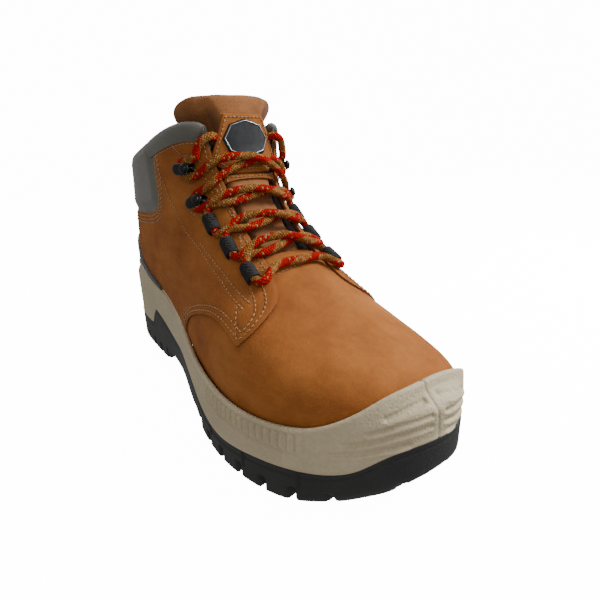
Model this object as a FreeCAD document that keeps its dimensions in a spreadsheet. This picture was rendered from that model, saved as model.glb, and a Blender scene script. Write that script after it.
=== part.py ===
import FreeCAD, Part
import math
import os

import Sketcher
from FreeCAD import Placement, Rotation, Vector

os.makedirs("parts", exist_ok=True)
doc = FreeCAD.newDocument("work_boot")

# ---------------------------------------------------------------- driving dimensions, mm
DIMENSIONS = [
    ("leather", 2.2, "upper leather thickness"),
    ("lining_inside", 5.8, "depth from the leather's face to the lining's inner face"),
    ("cap_inside", 4.0, "depth from the leather's face to the steel cap's inner face"),
    ("board_top", 4.2, "depth from the upper's underside to the insole board's top"),
    ("footbed_top", 8.2, "depth from the upper's underside to the footbed's top"),
    ("collar_puff", 1.0, "how far the padded collar stands outside the leather"),
    ("collar_skin", 0.9, "collar cover material thickness"),
    ("foam_inside", 4.6, "depth to the collar foam's inner face"),
    ("facing_tape", 1.0, "thickness of the tape that backs the lacing edge"),
    ("rand", 3.6, "how far the midsole wall stands outside the leather"),
    ("heel_overlay_out", 2.4, "heel overlay thickness"),
    ("backstay_out", 1.2, "backstay strip thickness"),
    ("backstay_half", 7.0, "half width of the backstay strip"),
    ("cap_back", -92.0, "rear edge of the steel toe cap"),
    ("cap_strip", 8.0, "length of the strip behind the cap's edge"),
    ("sole_tall", 72.0, "height of the block that the sole walls are cut from"),
    ("tread_floor", 12.5, "height of the outsole's inner floor, where the midsole fills it"),
    ("tread_depth", 4.5, "depth of the tread grooves"),
    ("groove_width", 5.0, "width of the tread grooves"),
    ("shank_width", 16.0, "steel shank width"),
    ("shank_gauge", 1.4, "steel shank thickness"),
    ("origin_to_lateral", 4.42, "from the last's centre line to the middle of the sole"),
    ("lace_dia", 4.6, "round lace diameter"),
    ("lace_in_loop", 3.4, "height of the lace's centre over the leather in a loop"),
    ("tip_length", 20.0, "lace tip length"),
    ("tip_wall", 0.3, "how much slimmer the tip is than the lace, on the radius"),
    ("hook_base_radius", 5.0, "speed hook's foot radius"),
    ("hook_base_gauge", 1.2, "speed hook's foot thickness"),
    ("hook_neck_radius", 1.7, "speed hook's neck radius"),
    ("hook_lip_height", 6.9, "underside of the hook's lip over the leather"),
    ("hook_lip_gauge", 1.5, "lip thickness"),
    ("hook_lip_width", 9.0, "lip width along the facing"),
    ("hook_lip_length", 12.0, "lip length away from the facing's edge"),
    ("rivet_radius", 1.0, "rivet shank radius"),
    ("rivet_dome", 3.2, "rivet dome radius"),
    ("washer_radius", 4.0, "washer radius"),
    ("washer_gauge", 0.8, "washer thickness"),
    ("loop_length", 13.0, "lace loop webbing width, along the facing"),
    ("loop_inside", 3.2, "inner radius of the loop's arch"),
    ("loop_webbing", 1.6, "loop webbing thickness"),
    ("hardware_lift", 0.4, "gap that keeps flat hardware clear of the curved leather"),
    ("tongue_skin", 1.4, "tongue leather and lining thickness"),
    ("patch_gauge", 1.1, "tongue patch thickness"),
    ("badge_gauge", 1.4, "badge thickness"),
]
sheet = doc.addObject("Spreadsheet::Sheet", "dimensions")
for line, (alias, value, meaning) in enumerate(DIMENSIONS, start=1):
    sheet.set("A%d" % line, meaning)
    sheet.set("B%d" % line, str(value))
    sheet.setAlias("B%d" % line, alias)
doc.recompute()


def size(alias):
    return float(sheet.get(alias))


# ---------------------------------------------------------------- the lasted form
# One row per station, from the toe over the instep to the collar. A station is the plane through
# the row's top and bottom points: top y, z, bottom y, z, lateral and medial half widths, how high
# the widest point sits, and how square the section is above and below it.
STATIONS = [
    (-148, 46, -148, 31, 15, 15, .42, 2.2, 2.8),
    (-142, 56.5, -142, 27, 29, 27, .40, 2.3, 3.0),
    (-128, 64, -127, 25, 43, 36, .38, 2.35, 3.2),
    (-108, 70.5, -104, 23.5, 54, 42, .36, 2.35, 3.3),
    (-86, 79, -78, 22.5, 58, 46, .33, 2.3, 3.3),
    (-66, 89.5, -48, 22, 56, 46, .30, 2.3, 3.3),
    (-49, 99.5, -15, 24, 51, 43, .29, 2.35, 3.2),
    (-34, 110.5, 22, 27, 46, 40, .30, 2.5, 3.0),
    (-22, 122, 60, 30, 43, 38, .32, 2.6, 2.8),
    (-15, 132, 98, 31, 42, 38, .36, 2.7, 2.6),
    (-11, 142, 128, 33, 41, 38, .42, 2.8, 2.5),
    (-9, 149, 146, 44, 40.5, 38, .46, 2.9, 2.4),
    (-8, 154, 151, 62, 40, 38, .48, 3.0, 2.35),
    (-7.5, 158, 148, 82, 40, 38, .50, 3.0, 2.3),
    (-7, 162, 141, 102, 40, 38, .50, 3.0, 2.3),
    (-6.5, 167, 134, 124, 40.5, 38, .50, 3.0, 2.3),
    (-6, 173, 130, 146, 41, 39, .50, 3.0, 2.3),
    (-5, 181, 128, 165, 41, 39, .50, 3.0, 2.3),
]
LATERAL, MEDIAL = -1, 1
TOE_Y = STATIONS[0][0]
SWING_START, SWING_LENGTH, SWING_AT_TOE = -45.0, 104.0, 9.2
STEEPEST = 0.5          # a skin is never measured more aslant than this cosine
RING_POINTS = 48


def natural_spline(rows):
    """Cubic through the rows at 0, 1, 2 and so on, with free ends."""
    last = len(rows) - 1
    bends = []
    for column in zip(*rows):
        upper, right, bend = [0.0] * (last + 1), [0.0] * (last + 1), [0.0] * (last + 1)
        for i in range(1, last):
            pivot = 4.0 - upper[i - 1]
            upper[i] = 1.0 / pivot
            right[i] = (6 * (column[i + 1] - 2 * column[i] + column[i - 1]) - right[i - 1]) / pivot
        for i in range(last - 1, 0, -1):
            bend[i] = right[i] - upper[i] * bend[i + 1]
        bends.append(bend)

    def at(place):
        i = min(max(int(place), 0), last - 1)
        far = place - i
        near = 1 - far
        return [near * a + far * b + ((near**3 - near) * m[i] + (far**3 - far) * m[i + 1]) / 6
                for a, b, m in zip(rows[i], rows[i + 1], bends)]

    return at


station_at = natural_spline(STATIONS)


def swing(y):
    """The toe bends to the medial side in front of the joint of the foot."""
    return SWING_AT_TOE * max(0.0, (SWING_START - y) / SWING_LENGTH) ** 1.5


class Section:
    """The form's section at a station, at a depth below (or height above) the leather's face."""

    def __init__(self, station, depth=0.0):
        top_y, top_z, low_y, low_z, lateral, medial, self.waist, self.top, self.low = station_at(station)
        before = station_at(max(station - 0.04, 0))
        after = station_at(min(station + 0.04, len(STATIONS) - 1))
        height = math.hypot(low_y - top_y, low_z - top_z)
        down_y, down_z = (low_y - top_y) / height, (low_z - top_z) / height
        step = [b - a for a, b in zip(before, after)]

        def aslant(step_y, step_z):
            return max(abs(step_y * down_z - step_z * down_y) / math.hypot(step_y, step_z), STEEPEST)

        advance = abs((step[0] + step[2]) * down_z - (step[1] + step[3]) * down_y) / 2

        def flare(step_x):
            return max(advance / math.hypot(advance, step_x), STEEPEST)

        top_depth, low_depth = depth / aslant(step[0], step[1]), depth / aslant(step[2], step[3])
        self.top_y, self.top_z = top_y + top_depth * down_y, top_z + top_depth * down_z
        self.low_y, self.low_z = low_y - low_depth * down_y, low_z - low_depth * down_z
        self.half = {LATERAL: lateral - depth / flare(step[4]), MEDIAL: medial - depth / flare(step[5])}

    def point(self, side, angle):
        """Angle 0 is the top of the section, and 180 its bottom."""
        turn = math.radians(angle)
        rise = math.cos(turn)
        power = 2 / (self.top if rise > 0 else self.low)
        reach = (1 - self.waist) if rise > 0 else -self.waist
        share = self.waist + reach * abs(rise) ** power
        y = self.low_y + (self.top_y - self.low_y) * share
        z = self.low_z + (self.top_z - self.low_z) * share
        return Vector(side * self.half[side] * abs(math.sin(turn)) ** power + swing(y), y, z)

    def side_points(self, side, count):
        """Evenly spaced points from the top to the bottom of one side."""
        fine = [self.point(side, angle) for angle in range(181)]
        run = [0.0]
        for a, b in zip(fine, fine[1:]):
            run.append(run[-1] + a.distanceToPoint(b))
        points, j = [], 0
        for k in range(count + 1):
            wanted = run[-1] * k / count
            while j < 179 and run[j + 1] < wanted:
                j += 1
            share = min((wanted - run[j]) / (run[j + 1] - run[j]), 1)
            points.append(fine[j] + (fine[j + 1] - fine[j]) * share)
        return points


def smooth_edge(points):
    curve = Part.BSplineCurve()
    last = len(points) - 1
    curve.interpolate(Points=points, Parameters=[k / last for k in range(last + 1)])
    return curve.toShape()


def first_station(depth):
    """The station that lies the given depth behind the toe's flat front."""
    low, high = 0.0, 3.0
    for _ in range(40):
        middle = (low + high) / 2
        low, high = (middle, high) if station_at(middle)[0] < TOE_Y + depth else (low, middle)
    return low


form_cache = {}


def form(depth):
    """The whole foot-shaped solid whose skin lies at this depth below the leather's face."""
    if depth not in form_cache:
        start = first_station(depth) if depth > 0 else 0.0
        stations = [start] + [k / 2 for k in range(1, 2 * len(STATIONS) - 1) if k / 2 > start + 0.2]
        rings = [[Section(s, depth).side_points(side, RING_POINTS // 2) for side in (LATERAL, MEDIAL)]
                 for s in stations]
        if depth < 0:
            rings.insert(0, [[p + Vector(0, depth, 0) for p in points] for points in rings[0]])
        wires = [Part.Wire([smooth_edge(lateral), smooth_edge(medial[::-1])]) for lateral, medial in rings]
        form_cache[depth] = Part.makeLoft(wires, True, False)
    return form_cache[depth]


def shell(outer, inner):
    return form(outer).cut(form(inner))


# ---------------------------------------------------------------- cutting tools
WIDE = 90.0             # half width of a cutter that runs right across the boot
TALL = 260.0


def side_cutter(outline, low_x=-WIDE, high_x=WIDE):
    """A block with a side-view outline, (y, z) points in order."""
    face = Part.Face(Part.makePolygon([Vector(low_x, y, z) for y, z in outline + outline[:1]]))
    return face.extrude(Vector(high_x - low_x, 0, 0))


def front_cutter(outline, low_y=-80.0, high_y=20.0):
    """A block with a front-view outline, (x, z) points in order."""
    face = Part.Face(Part.makePolygon([Vector(x, low_y, z) for x, z in outline + outline[:1]]))
    return face.extrude(Vector(0, high_y - low_y, 0))


def mirrored(outline):
    """A left half outline, listed upwards, closed by its mirror image."""
    return outline + [(-x, z) for x, z in outline[::-1]]


def curve_points(points, steps=4):
    """Points on a smooth curve through the given (y, z) points."""
    at = natural_spline(points)
    return [tuple(at(k / steps)) for k in range((len(points) - 1) * steps + 1)]


TOP_LINE = curve_points([(-14, 152), (-7, 161), (3, 166), (18, 164.5), (38, 159.5), (62, 153.5),
                         (92, 148), (122, 144.5), (150, 142)])
QUARTER_FOOT = curve_points([(-3, 50), (-13, 59), (-28, 65.3), (-42, 68.8), (-57, 68.6), (-75.8, 63.4)])
QUARTER_TAB = curve_points([(-75.8, 63.4), (-79.2, 70), (-78, 77), (-71.4, 83.5), (-58, 91.5)])
QUARTER_EDGE = QUARTER_FOOT + QUARTER_TAB[1:]
FACING_EDGE = [(-17.5, 60), (-17.5, 92), (-17.5, 132), (-20.8, 147), (-22, 158), (-24, 200)]
THROAT_Y = -55.0
COLLAR_FRONT = curve_points([(39, 161), (42, 148), (43, 132), (44.5, 120), (54, 113), (90, 109.5),
                             (160, 108)])
BAND = 5.5              # rolled collar band along the top line

below_top_line = side_cutter(TOP_LINE + [(200, 142), (200, -20), (-200, -20), (-200, 152)])
below_band = side_cutter([(y, z - BAND) for y, z in TOP_LINE] + [(200, 136), (200, -20), (-200, -20),
                                                                 (-200, 146)])
quarter_side = side_cutter([(-3, -10)] + QUARTER_EDGE + [(-58, TALL), (200, TALL), (200, -10)])
throat_gap = front_cutter(mirrored(FACING_EDGE), low_y=THROAT_Y)
centre_front = front_cutter(mirrored(FACING_EDGE))
collar_side = side_cutter(COLLAR_FRONT + [(200, 108), (200, TALL), (39, TALL)])
lateral_half = Part.makeBox(WIDE, 400, TALL, Vector(-WIDE, -200, -10))
medial_half = Part.makeBox(WIDE, 400, TALL, Vector(0, -200, -10))

# ---------------------------------------------------------------- sole outlines
# Plan outline of the sole, clockwise from the toe's tip round the lateral side, (x, y).
SOLE_OUTLINE = [(8, -155), (-16, -149), (-36, -134), (-52, -110), (-60, -82), (-60.5, -55), (-55, -20),
                (-47, 15), (-43.5, 50), (-43, 85), (-41, 115), (-33, 138), (-18, 151), (0, 155), (18, 152),
                (33, 139), (40, 115), (41, 85), (40, 50), (41, 15), (46, -20), (51, -55), (52, -85),
                (49, -112), (42, -132), (28, -148)]
# Where the beige midsole meets the black outsole, (y, z) from the toe back; it hooks at the heel.
PARTING = curve_points([(-170, 38), (-150, 33), (-138, 23), (-120, 19), (-98, 17.5), (-74, 15), (-55, 16.5),
                        (-40, 21), (-22, 26.5), (5, 27), (32, 27.5), (54, 33), (72, 37)]) + [
    (78, 31), (83, 23), (88, 22), (170, 21)]
# The midsole's upper edge, (y, z) from the toe back.
MIDSOLE_TOP = curve_points([(-170, 58), (-156, 57.5), (-147, 54.5), (-139, 48.5), (-128, 41.5), (-112, 37.5),
                            (-80, 36.5), (-50, 37.5), (-22, 38), (-4, 43.6), (12, 49.6), (32, 54.8),
                            (50, 58.5), (80, 62), (110, 65.5), (170, 66)])
HEEL_OVERLAY_TOP = curve_points([(49, 60), (62, 63), (82, 67.5), (108, 77), (130, 87), (160, 96)])
# The tread seen from the side: toe spring, forepart, raised waist and heel.
GROUND_LINE = [(-170, 24), (-157, 14), (-148, 6.5), (-136, 2.6), (-120, 0.8), (-104, 0), (-42, 0), (-36, 8),
               (50, 9), (57, 0), (143, 0), (150, 1.2), (157, 4)]

above_parting = side_cutter(PARTING + [(170, TALL), (-170, TALL)])
below_midsole_top = side_cutter(MIDSOLE_TOP + [(170, -20), (-170, -20)])




def plan_curve(share_x=1.0, share_y=1.0):
    """The sole's plan, or a smaller one inside it."""
    points = [Vector(x * share_x + swing(y) * (1 - share_x), y * share_y, 0) for x, y in SOLE_OUTLINE]
    curve = Part.BSplineCurve()
    curve.interpolate(Points=points, PeriodicFlag=True)
    return curve


def plan_block(top, share_x=1.0, share_y=1.0):
    face = Part.Face(Part.Wire(plan_curve(share_x, share_y).toShape()))
    return face.extrude(Vector(0, 0, top))


CORE_SHARE = (0.92, 0.965)      # the midsole's filling inside the outsole's rim


# ---------------------------------------------------------------- document helpers
nodes = []


def keep(label, shape, placement=Placement()):
    """A sub-part whose shape is worked out from the form."""
    piece = doc.addObject("Part::Feature", label)
    piece.Label = label
    piece.Shape = shape.removeSplitter()
    piece.Placement = placement
    nodes.append(piece)
    return piece


def new_body(label):
    body = doc.addObject("PartDesign::Body", label)
    body.Label = label
    nodes.append(body)
    return body


def new_sketch(body, role, name, height=None):
    """A sketch on one of the body's own planes, raised by an expression where one is given."""
    sketch = body.newObject("Sketcher::SketchObject", name)
    plane = next(f for f in body.Origin.OriginFeatures if f.Role == role)
    sketch.AttachmentSupport = [(plane, "")]
    sketch.MapMode = "FlatFace"
    if height:
        sketch.setExpression("AttachmentOffset.Base.z", height)
    return sketch


def add_polygon(sketch, points):
    for a, b in zip(points, points[1:] + points[:1]):
        sketch.addGeometry(Part.LineSegment(Vector(a[0], a[1], 0), Vector(b[0], b[1], 0)), False)


def add_circle(sketch, radius):
    """A circle on the origin whose radius follows the sheet."""
    index = sketch.addGeometry(Part.Circle(Vector(0, 0, 0), Vector(0, 0, 1), size(radius)), False)
    sketch.addConstraint(Sketcher.Constraint("Coincident", index, 3, -1, 1))
    sketch.addConstraint(Sketcher.Constraint("Radius", index, size(radius)))
    sketch.setExpression("Constraints[%d]" % (sketch.ConstraintCount - 1), "dimensions.%s" % radius)


def add_pad(body, sketch, name, length):
    pad = body.newObject("PartDesign::Pad", name)
    pad.Profile = sketch
    pad.setExpression("Length", length)
    return pad


def add_side_pocket(body, name, outline):
    """Removes a side-view outline right across the body."""
    sketch = new_sketch(body, "YZ_Plane", name + "_sketch")
    add_polygon(sketch, outline)
    pocket = body.newObject("PartDesign::Pocket", name)
    pocket.Profile = sketch
    pocket.Midplane = True
    pocket.Length = 2 * WIDE
    return pocket


# ---------------------------------------------------------------- outsole
FOREPART_GROOVES = [-132, -115, -98, -81, -64]
HEEL_GROOVES = [76, 96, 116, 134]
GROOVE_INNER, GROOVE_OUTER = 15.0, 75.0

outsole = new_body("outsole")
plan = new_sketch(outsole, "XY_Plane", "plan")
plan.addGeometry(plan_curve(), False)
add_pad(outsole, plan, "slab", "dimensions.sole_tall")
add_side_pocket(outsole, "under_tread", GROUND_LINE + [(170, -20), (-170, -20)])
add_side_pocket(outsole, "over_parting", PARTING + [(170, 100), (-170, 100)])
core = new_sketch(outsole, "XY_Plane", "core", "dimensions.tread_floor")
core.addGeometry(plan_curve(*CORE_SHARE), False)
core_pocket = outsole.newObject("PartDesign::Pocket", "core_pocket")
core_pocket.Profile = core
core_pocket.Reversed = True
core_pocket.setExpression("Length", "dimensions.sole_tall")
grooves = new_sketch(outsole, "XY_Plane", "grooves")
half_groove = size("groove_width") / 2
for y in FOREPART_GROOVES + HEEL_GROOVES:
    for side in (LATERAL, MEDIAL):
        inner, outer = side * GROOVE_INNER, side * GROOVE_OUTER
        add_polygon(grooves, [(inner, y - half_groove), (outer, y - half_groove - 3),
                              (outer, y + half_groove - 3), (inner, y + half_groove)])
tread = outsole.newObject("PartDesign::Pocket", "tread")
tread.Profile = grooves
tread.AllowMultiFace = True
tread.Reversed = True
tread.setExpression("Length", "dimensions.tread_depth")
doc.recompute()

# ---------------------------------------------------------------- upper shells and what is inside them
# The midsole's wall stands plumb up to this line, (y, z), and hugs the upper above it.
LEDGE = curve_points([(-170, 52), (-154, 50), (-146, 45), (-136, 38), (-120, 33), (-40, 34), (0, 38),
                      (40, 50), (90, 57), (170, 58)])
WALL_TOP = 60.0
below_ledge = side_cutter(LEDGE + [(170, -20), (-170, -20)])
BOARD_LIP = 42.0        # the board's cutter reaches this high, above the board and under the cap's roof

leather = size("leather")
board_block = plan_block(BOARD_LIP, 0.72, 0.88)
footbed_block = plan_block(BOARD_LIP + 6, 0.80, 0.92)
leather_shell = shell(0, leather).common(below_top_line).cut(board_block)
lining_shell = shell(leather, size("lining_inside")).common(below_top_line).cut(board_block)
cap_shell = shell(leather, size("cap_inside")).cut(board_block)

band = below_top_line.cut(below_band).common(Part.makeBox(2 * WIDE, 300, TALL, Vector(-WIDE, -12, 0)))
band_front = band.cut(collar_side)
collar_zone = collar_side.common(below_top_line)

SHANK_FROM, SHANK_TO, SHANK_X = -38.0, 84.0, -2.0
shank_box = Part.makeBox(size("shank_width"), SHANK_TO - SHANK_FROM, 60,
                         Vector(SHANK_X - size("shank_width") / 2, SHANK_FROM, 0))
SHANK_COVER = 0.1
shank = shell(leather - SHANK_COVER - size("shank_gauge"), leather - SHANK_COVER).common(shank_box)

wall = plan_block(WALL_TOP).common(below_ledge).fuse(form(-size("rand")))
core_fill = plan_block(WALL_TOP, *CORE_SHARE)
core_fill.translate(Vector(0, 0, size("tread_floor")))
midsole = wall.common(above_parting.fuse(core_fill)).common(below_midsole_top).cut(form(0))
midsole = midsole.fuse(shell(0, leather).common(board_block)).cut(shank)

cap_box = Part.makeBox(2 * WIDE, 200, TALL, Vector(-WIDE, size("cap_back") - 200, 0))
strip_box = Part.makeBox(2 * WIDE, size("cap_strip"), TALL, Vector(-WIDE, size("cap_back"), 0))
counter_cutter = side_cutter([(84, 0), (96, 60), (112, 80), (170, 84), (170, 0)])
toe_cap = cap_shell.common(cap_box)
cap_strip = cap_shell.common(strip_box)
counter = cap_shell.common(counter_cutter)

quarter_leather = leather_shell.common(quarter_side).cut(centre_front).cut(collar_zone).cut(band)
BACK_SEAM_Y = 60.0
strip_corner = Vector(-size("backstay_half"), BACK_SEAM_Y, 0)
back_strip = Part.makeBox(2 * size("backstay_half"), 200, TALL, strip_corner)
behind_vamp = quarter_side.cut(front_cutter(mirrored(FACING_EDGE), low_y=-90, high_y=THROAT_Y))
vamp = leather_shell.cut(behind_vamp)

tape_outline = [(-17.5, 88), (-17.5, 132), (-20.8, 147), (-22, 156), (-35, 152), (-33, 132), (-33, 88)]
tape_mirror = [(-x, z) for x, z in tape_outline]
tape_zone = shell(leather, leather + size("facing_tape")).common(quarter_side).common(below_band)
tapes = {LATERAL: tape_zone.common(front_cutter(tape_outline)),
         MEDIAL: tape_zone.common(front_cutter(tape_mirror))}

collar_out = -size("collar_puff")
collar_under = collar_out + size("collar_skin")
collar_cover = shell(collar_out, collar_under).common(collar_zone.fuse(band)).cut(throat_gap)
collar_cover = collar_cover.fuse(shell(collar_under, leather).common(band_front).cut(throat_gap))
collar_foam = shell(collar_under, size("foam_inside")).common(collar_zone)
heel_edge = [(y, z) for y, z in MIDSOLE_TOP if 49 < y < 160]
overlay_zone = side_cutter(heel_edge + HEEL_OVERLAY_TOP[::-1])
heel_overlay = shell(-size("heel_overlay_out"), 0).common(overlay_zone)
above_overlay = side_cutter(HEEL_OVERLAY_TOP + [(160, 107.5), (49, 107.5)])
backstay = shell(-size("backstay_out"), 0).common(above_overlay).common(back_strip)

inner_zone = lining_shell.cut(toe_cap).cut(cap_strip).cut(counter).cut(collar_foam)
for tape in tapes.values():
    inner_zone = inner_zone.cut(tape)
vamp_lining = inner_zone.cut(behind_vamp)
quarter_lining = inner_zone.common(quarter_side).cut(centre_front)
insole_board = shell(leather, size("board_top")).common(board_block)
footbed = shell(size("board_top"), size("footbed_top")).common(footbed_block).cut(lining_shell).cut(cap_shell)


def largest(shape):
    return max(shape.Solids, key=lambda solid: solid.Volume)


# ---------------------------------------------------------------- lacing hardware
# Each row of the facing: its kind, station and angle round the section.
HOOKS = {"upper": (11.4, 41), "lower": (9.1, 36.5)}
LOOPS = {"top": (7.85, 36), "middle": (6.7, 32), "bottom": (5.55, 28.5)}
SIDE_NAMES = {LATERAL: "lateral", MEDIAL: "medial"}


def surface_frame(side, station, angle):
    """A place on the leather's face: its point, then out from the throat, up the facing and off it."""
    here = Section(station).point(side, angle)
    up = Section(station + 0.1).point(side, angle) - Section(station - 0.1).point(side, angle)
    out = Section(station).point(side, angle + 1) - Section(station).point(side, angle - 1)
    up.normalize()
    normal = out.cross(up) * side
    normal.normalize()
    out = up.cross(normal) * side
    return here, out, up, normal


def at_frame(frame, outwards, upwards, off):
    here, out, up, normal = frame
    return here + out * outwards + up * upwards + normal * off


def frame_placement(frame, side, lift):
    """X out from the throat on the lateral side (and into it on the medial one), Z off the leather."""
    here, out, up, normal = frame
    across = up.cross(normal)
    return Placement(here + normal * lift, Rotation(across, up, normal, "ZXY"))


def make_hook(label, side, frame):
    """A riveted speed hook: a round foot, a neck and a lip that keeps the lace under it."""
    body = new_body(label)
    foot = new_sketch(body, "XY_Plane", "foot")
    add_circle(foot, "hook_base_radius")
    add_pad(body, foot, "foot_pad", "dimensions.hook_base_gauge")
    neck = new_sketch(body, "XY_Plane", "neck")
    add_circle(neck, "hook_neck_radius")
    add_pad(body, neck, "neck_pad", "dimensions.hook_lip_height + dimensions.hook_lip_gauge / 2")
    lip = new_sketch(body, "XY_Plane", "lip", "dimensions.hook_lip_height")
    reach, half = size("hook_lip_length"), size("hook_lip_width") / 2
    slot_ends = sorted([0.0, side * (reach - 2 * half)])
    low, high = Vector(slot_ends[0], 0, 0), Vector(slot_ends[1], 0, 0)
    lip.addGeometry(Part.LineSegment(low + Vector(0, half, 0), high + Vector(0, half, 0)), False)
    lip.addGeometry(Part.LineSegment(high - Vector(0, half, 0), low - Vector(0, half, 0)), False)
    quarter_turn, upwards = math.pi / 2, Vector(0, 0, 1)
    lip.addGeometry(Part.ArcOfCircle(Part.Circle(high, upwards, half), -quarter_turn, quarter_turn), False)
    lip.addGeometry(Part.ArcOfCircle(Part.Circle(low, upwards, half), quarter_turn, 3 * quarter_turn), False)
    add_pad(body, lip, "lip_pad", "dimensions.hook_lip_gauge")
    hole = new_sketch(body, "XY_Plane", "rivet_hole")
    add_circle(hole, "rivet_radius")
    bore = body.newObject("PartDesign::Pocket", "bore")
    bore.Profile = hole
    bore.Reversed = True
    bore.Length = 20
    body.Placement = frame_placement(frame, side, size("hardware_lift"))


def make_loop(label, side, frame):
    """A webbing loop: an arch that the lace runs through along the facing."""
    inside, webbing = size("loop_inside"), size("loop_webbing")
    outside, floor = inside + webbing, 0.5
    body = new_body(label)
    sketch = new_sketch(body, "XZ_Plane", "arch")
    for radius, low in ((outside, 0.0), (inside, floor)):
        left, right = Vector(-radius, inside, 0), Vector(radius, inside, 0)
        crown = Part.Circle(Vector(0, inside, 0), Vector(0, 0, 1), radius)
        sketch.addGeometry(Part.ArcOfCircle(crown, 0, math.pi), False)
        sketch.addGeometry(Part.LineSegment(left, Vector(-radius, low, 0)), False)
        sketch.addGeometry(Part.LineSegment(Vector(-radius, low, 0), Vector(radius, low, 0)), False)
        sketch.addGeometry(Part.LineSegment(Vector(radius, low, 0), right), False)
    pad = add_pad(body, sketch, "webbing", "dimensions.loop_length")
    pad.Midplane = True
    body.Placement = frame_placement(frame, side, size("hardware_lift") / 2)


hook_frames, loop_frames = {}, {}
for side, side_name in SIDE_NAMES.items():
    for row, (station, angle) in HOOKS.items():
        hook_frames[side, row] = surface_frame(side, station, angle)
    for row, (station, angle) in LOOPS.items():
        loop_frames[side, row] = surface_frame(side, station, angle)

LIFT = size("hardware_lift")
LIP_TOP = LIFT + size("hook_lip_height") + size("hook_lip_gauge")
WASHER_GAP = 0.3
washer_low = -leather - WASHER_GAP - size("washer_gauge")


def local(shape, side, frame):
    """A shape drawn at the origin, moved to a place on the leather."""
    moved = shape.copy()
    moved.Placement = frame_placement(frame, side, 0)
    return moved


rivets, washers, rivet_holes = [], [], []
for (side, row), frame in hook_frames.items():
    dome = Part.makeSphere(size("rivet_dome"), Vector(0, 0, LIP_TOP)).common(
        Part.makeBox(20, 20, 20, Vector(-10, -10, LIP_TOP)))
    shank_height = LIP_TOP - washer_low + 0.5
    pin = Part.makeCylinder(size("rivet_radius"), shank_height, Vector(0, 0, washer_low - 0.5))
    rivets.append(local(dome.fuse(pin), side, frame))
    disc = Part.makeCylinder(size("washer_radius"), size("washer_gauge"), Vector(0, 0, washer_low))
    washers.append(local(disc.cut(pin), side, frame))
    clear = Part.makeCylinder(size("washer_radius") + 0.2, 2.2, Vector(0, 0, washer_low - 0.8))
    rivet_holes.append(local(clear, side, frame))


def without(shape, tools):
    for tool in tools:
        shape = shape.cut(tool)
    return shape


# ---------------------------------------------------------------- tongue
# Rows up the tongue: station, how wide its crown is, where its flank begins, its outer edge (angles
# round the section), the crown's depth, the flank's depth and the inner face's depth.
TONGUE_ROWS = [
    (5.85, 8, 14, 20, 7.4, 8.6, 12.4),
    (6.3, 11, 18, 30, 4.2, 8.6, 13.0),
    (7.2, 11, 20, 38, 2.8, 8.6, 13.5),
    (8.6, 12, 21, 44, 2.4, 8.6, 14.0),
    (10.5, 13, 22, 48, 2.4, 9.2, 15.0),
    (12.3, 13, 21, 50, 2.0, 11.8, 17.5),
    (13.8, 11, 18.5, 51, 2.0, 12.2, 18.0),
    (15.2, 11, 18.5, 54, 2.0, 11.0, 17.0),
    (16.2, 12, 24, 56, 2.2, 7.2, 13.5),
    (16.75, 12, 26, 44, 3.2, 6.5, 11.5),
    (16.95, 8, 18, 31, 5.5, 7.0, 10.8),
]
TONGUE_STEPS = 8


def tongue_curve(row, share, skins):
    """A curve across the tongue: share 0 is its outer face and 1 its inner face, drawn in by skins."""
    station, crown, flank, edge, crown_depth, flank_depth, inner_depth = row
    points = []
    for k in range(-TONGUE_STEPS, TONGUE_STEPS + 1):
        side = LATERAL if k < 0 else MEDIAL
        angle = edge * abs(k) / TONGUE_STEPS
        slope = min(max((angle - crown) / (flank - crown), 0), 1)
        outer = crown_depth + (flank_depth - crown_depth) * (3 - 2 * slope) * slope * slope
        depth = outer + (inner_depth - outer) * share + skins * size("tongue_skin")
        points.append(Section(station, depth).point(side, angle))
    return points


def tongue_layer(outer, inner):
    """The solid between two faces of the tongue, each a share and a number of skins."""
    wires = []
    for row in TONGUE_ROWS:
        front, back = tongue_curve(row, *outer), tongue_curve(row, *inner)[::-1]
        wires.append(Part.Wire([smooth_edge(front), Part.LineSegment(front[-1], back[0]).toShape(),
                                smooth_edge(back), Part.LineSegment(back[-1], front[0]).toShape()]))
    return Part.makeLoft(wires, True, False)


# Faces of the tongue's layers, each a share of its thickness and a number of skins; glue lines part the foam.
FRONT_FACE, UNDER_COVER, FOAM_FRONT = (0, 0), (0, 1), (0, 1.25)
FOAM_BACK, OVER_LINING, BACK_FACE = (1, -1.25), (1, -1), (1, 0)

PATCH_OUTLINE = [(-10, 136.5), (-15.5, 145.5), (-9.5, 170.5)]
BADGE_OUTLINE = [(0, 149.5), (-7.5, 151.5), (-10, 157), (-7.5, 163), (0, 166.5)]
TONGUE_FACE = 2.0
patch_outer = TONGUE_FACE - size("patch_gauge")
patch = shell(patch_outer, TONGUE_FACE).common(front_cutter(mirrored(PATCH_OUTLINE)))
badge_outer = patch_outer - size("badge_gauge")
badge = shell(badge_outer, patch_outer).common(front_cutter(mirrored(BADGE_OUTLINE)[:-1]))

# ---------------------------------------------------------------- lace
CROSS_LOW, CROSS_HIGH = 3.1, 8.0     # heights of the two strands where they cross in the middle
ROUND_HOOK = [(-7, 4.6, 4.4), (4.6, 4.8, 4.2), (4.6, -4.8, 4.2), (-7, -4.6, 4.4)]
THROUGH_LOOP = [(-4.5, 11.2, 4.2), (0, 7.4, 3.4), (0, -7.4, 3.4), (-4.5, -11.2, 4.2)]


def lace_side(frame, offsets, upwards):
    points = [at_frame(frame, *offset) for offset in offsets]
    return points[::-1] if upwards else points


def middle_point(station, height):
    return Section(station, -height).point(MEDIAL, 0)


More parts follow.
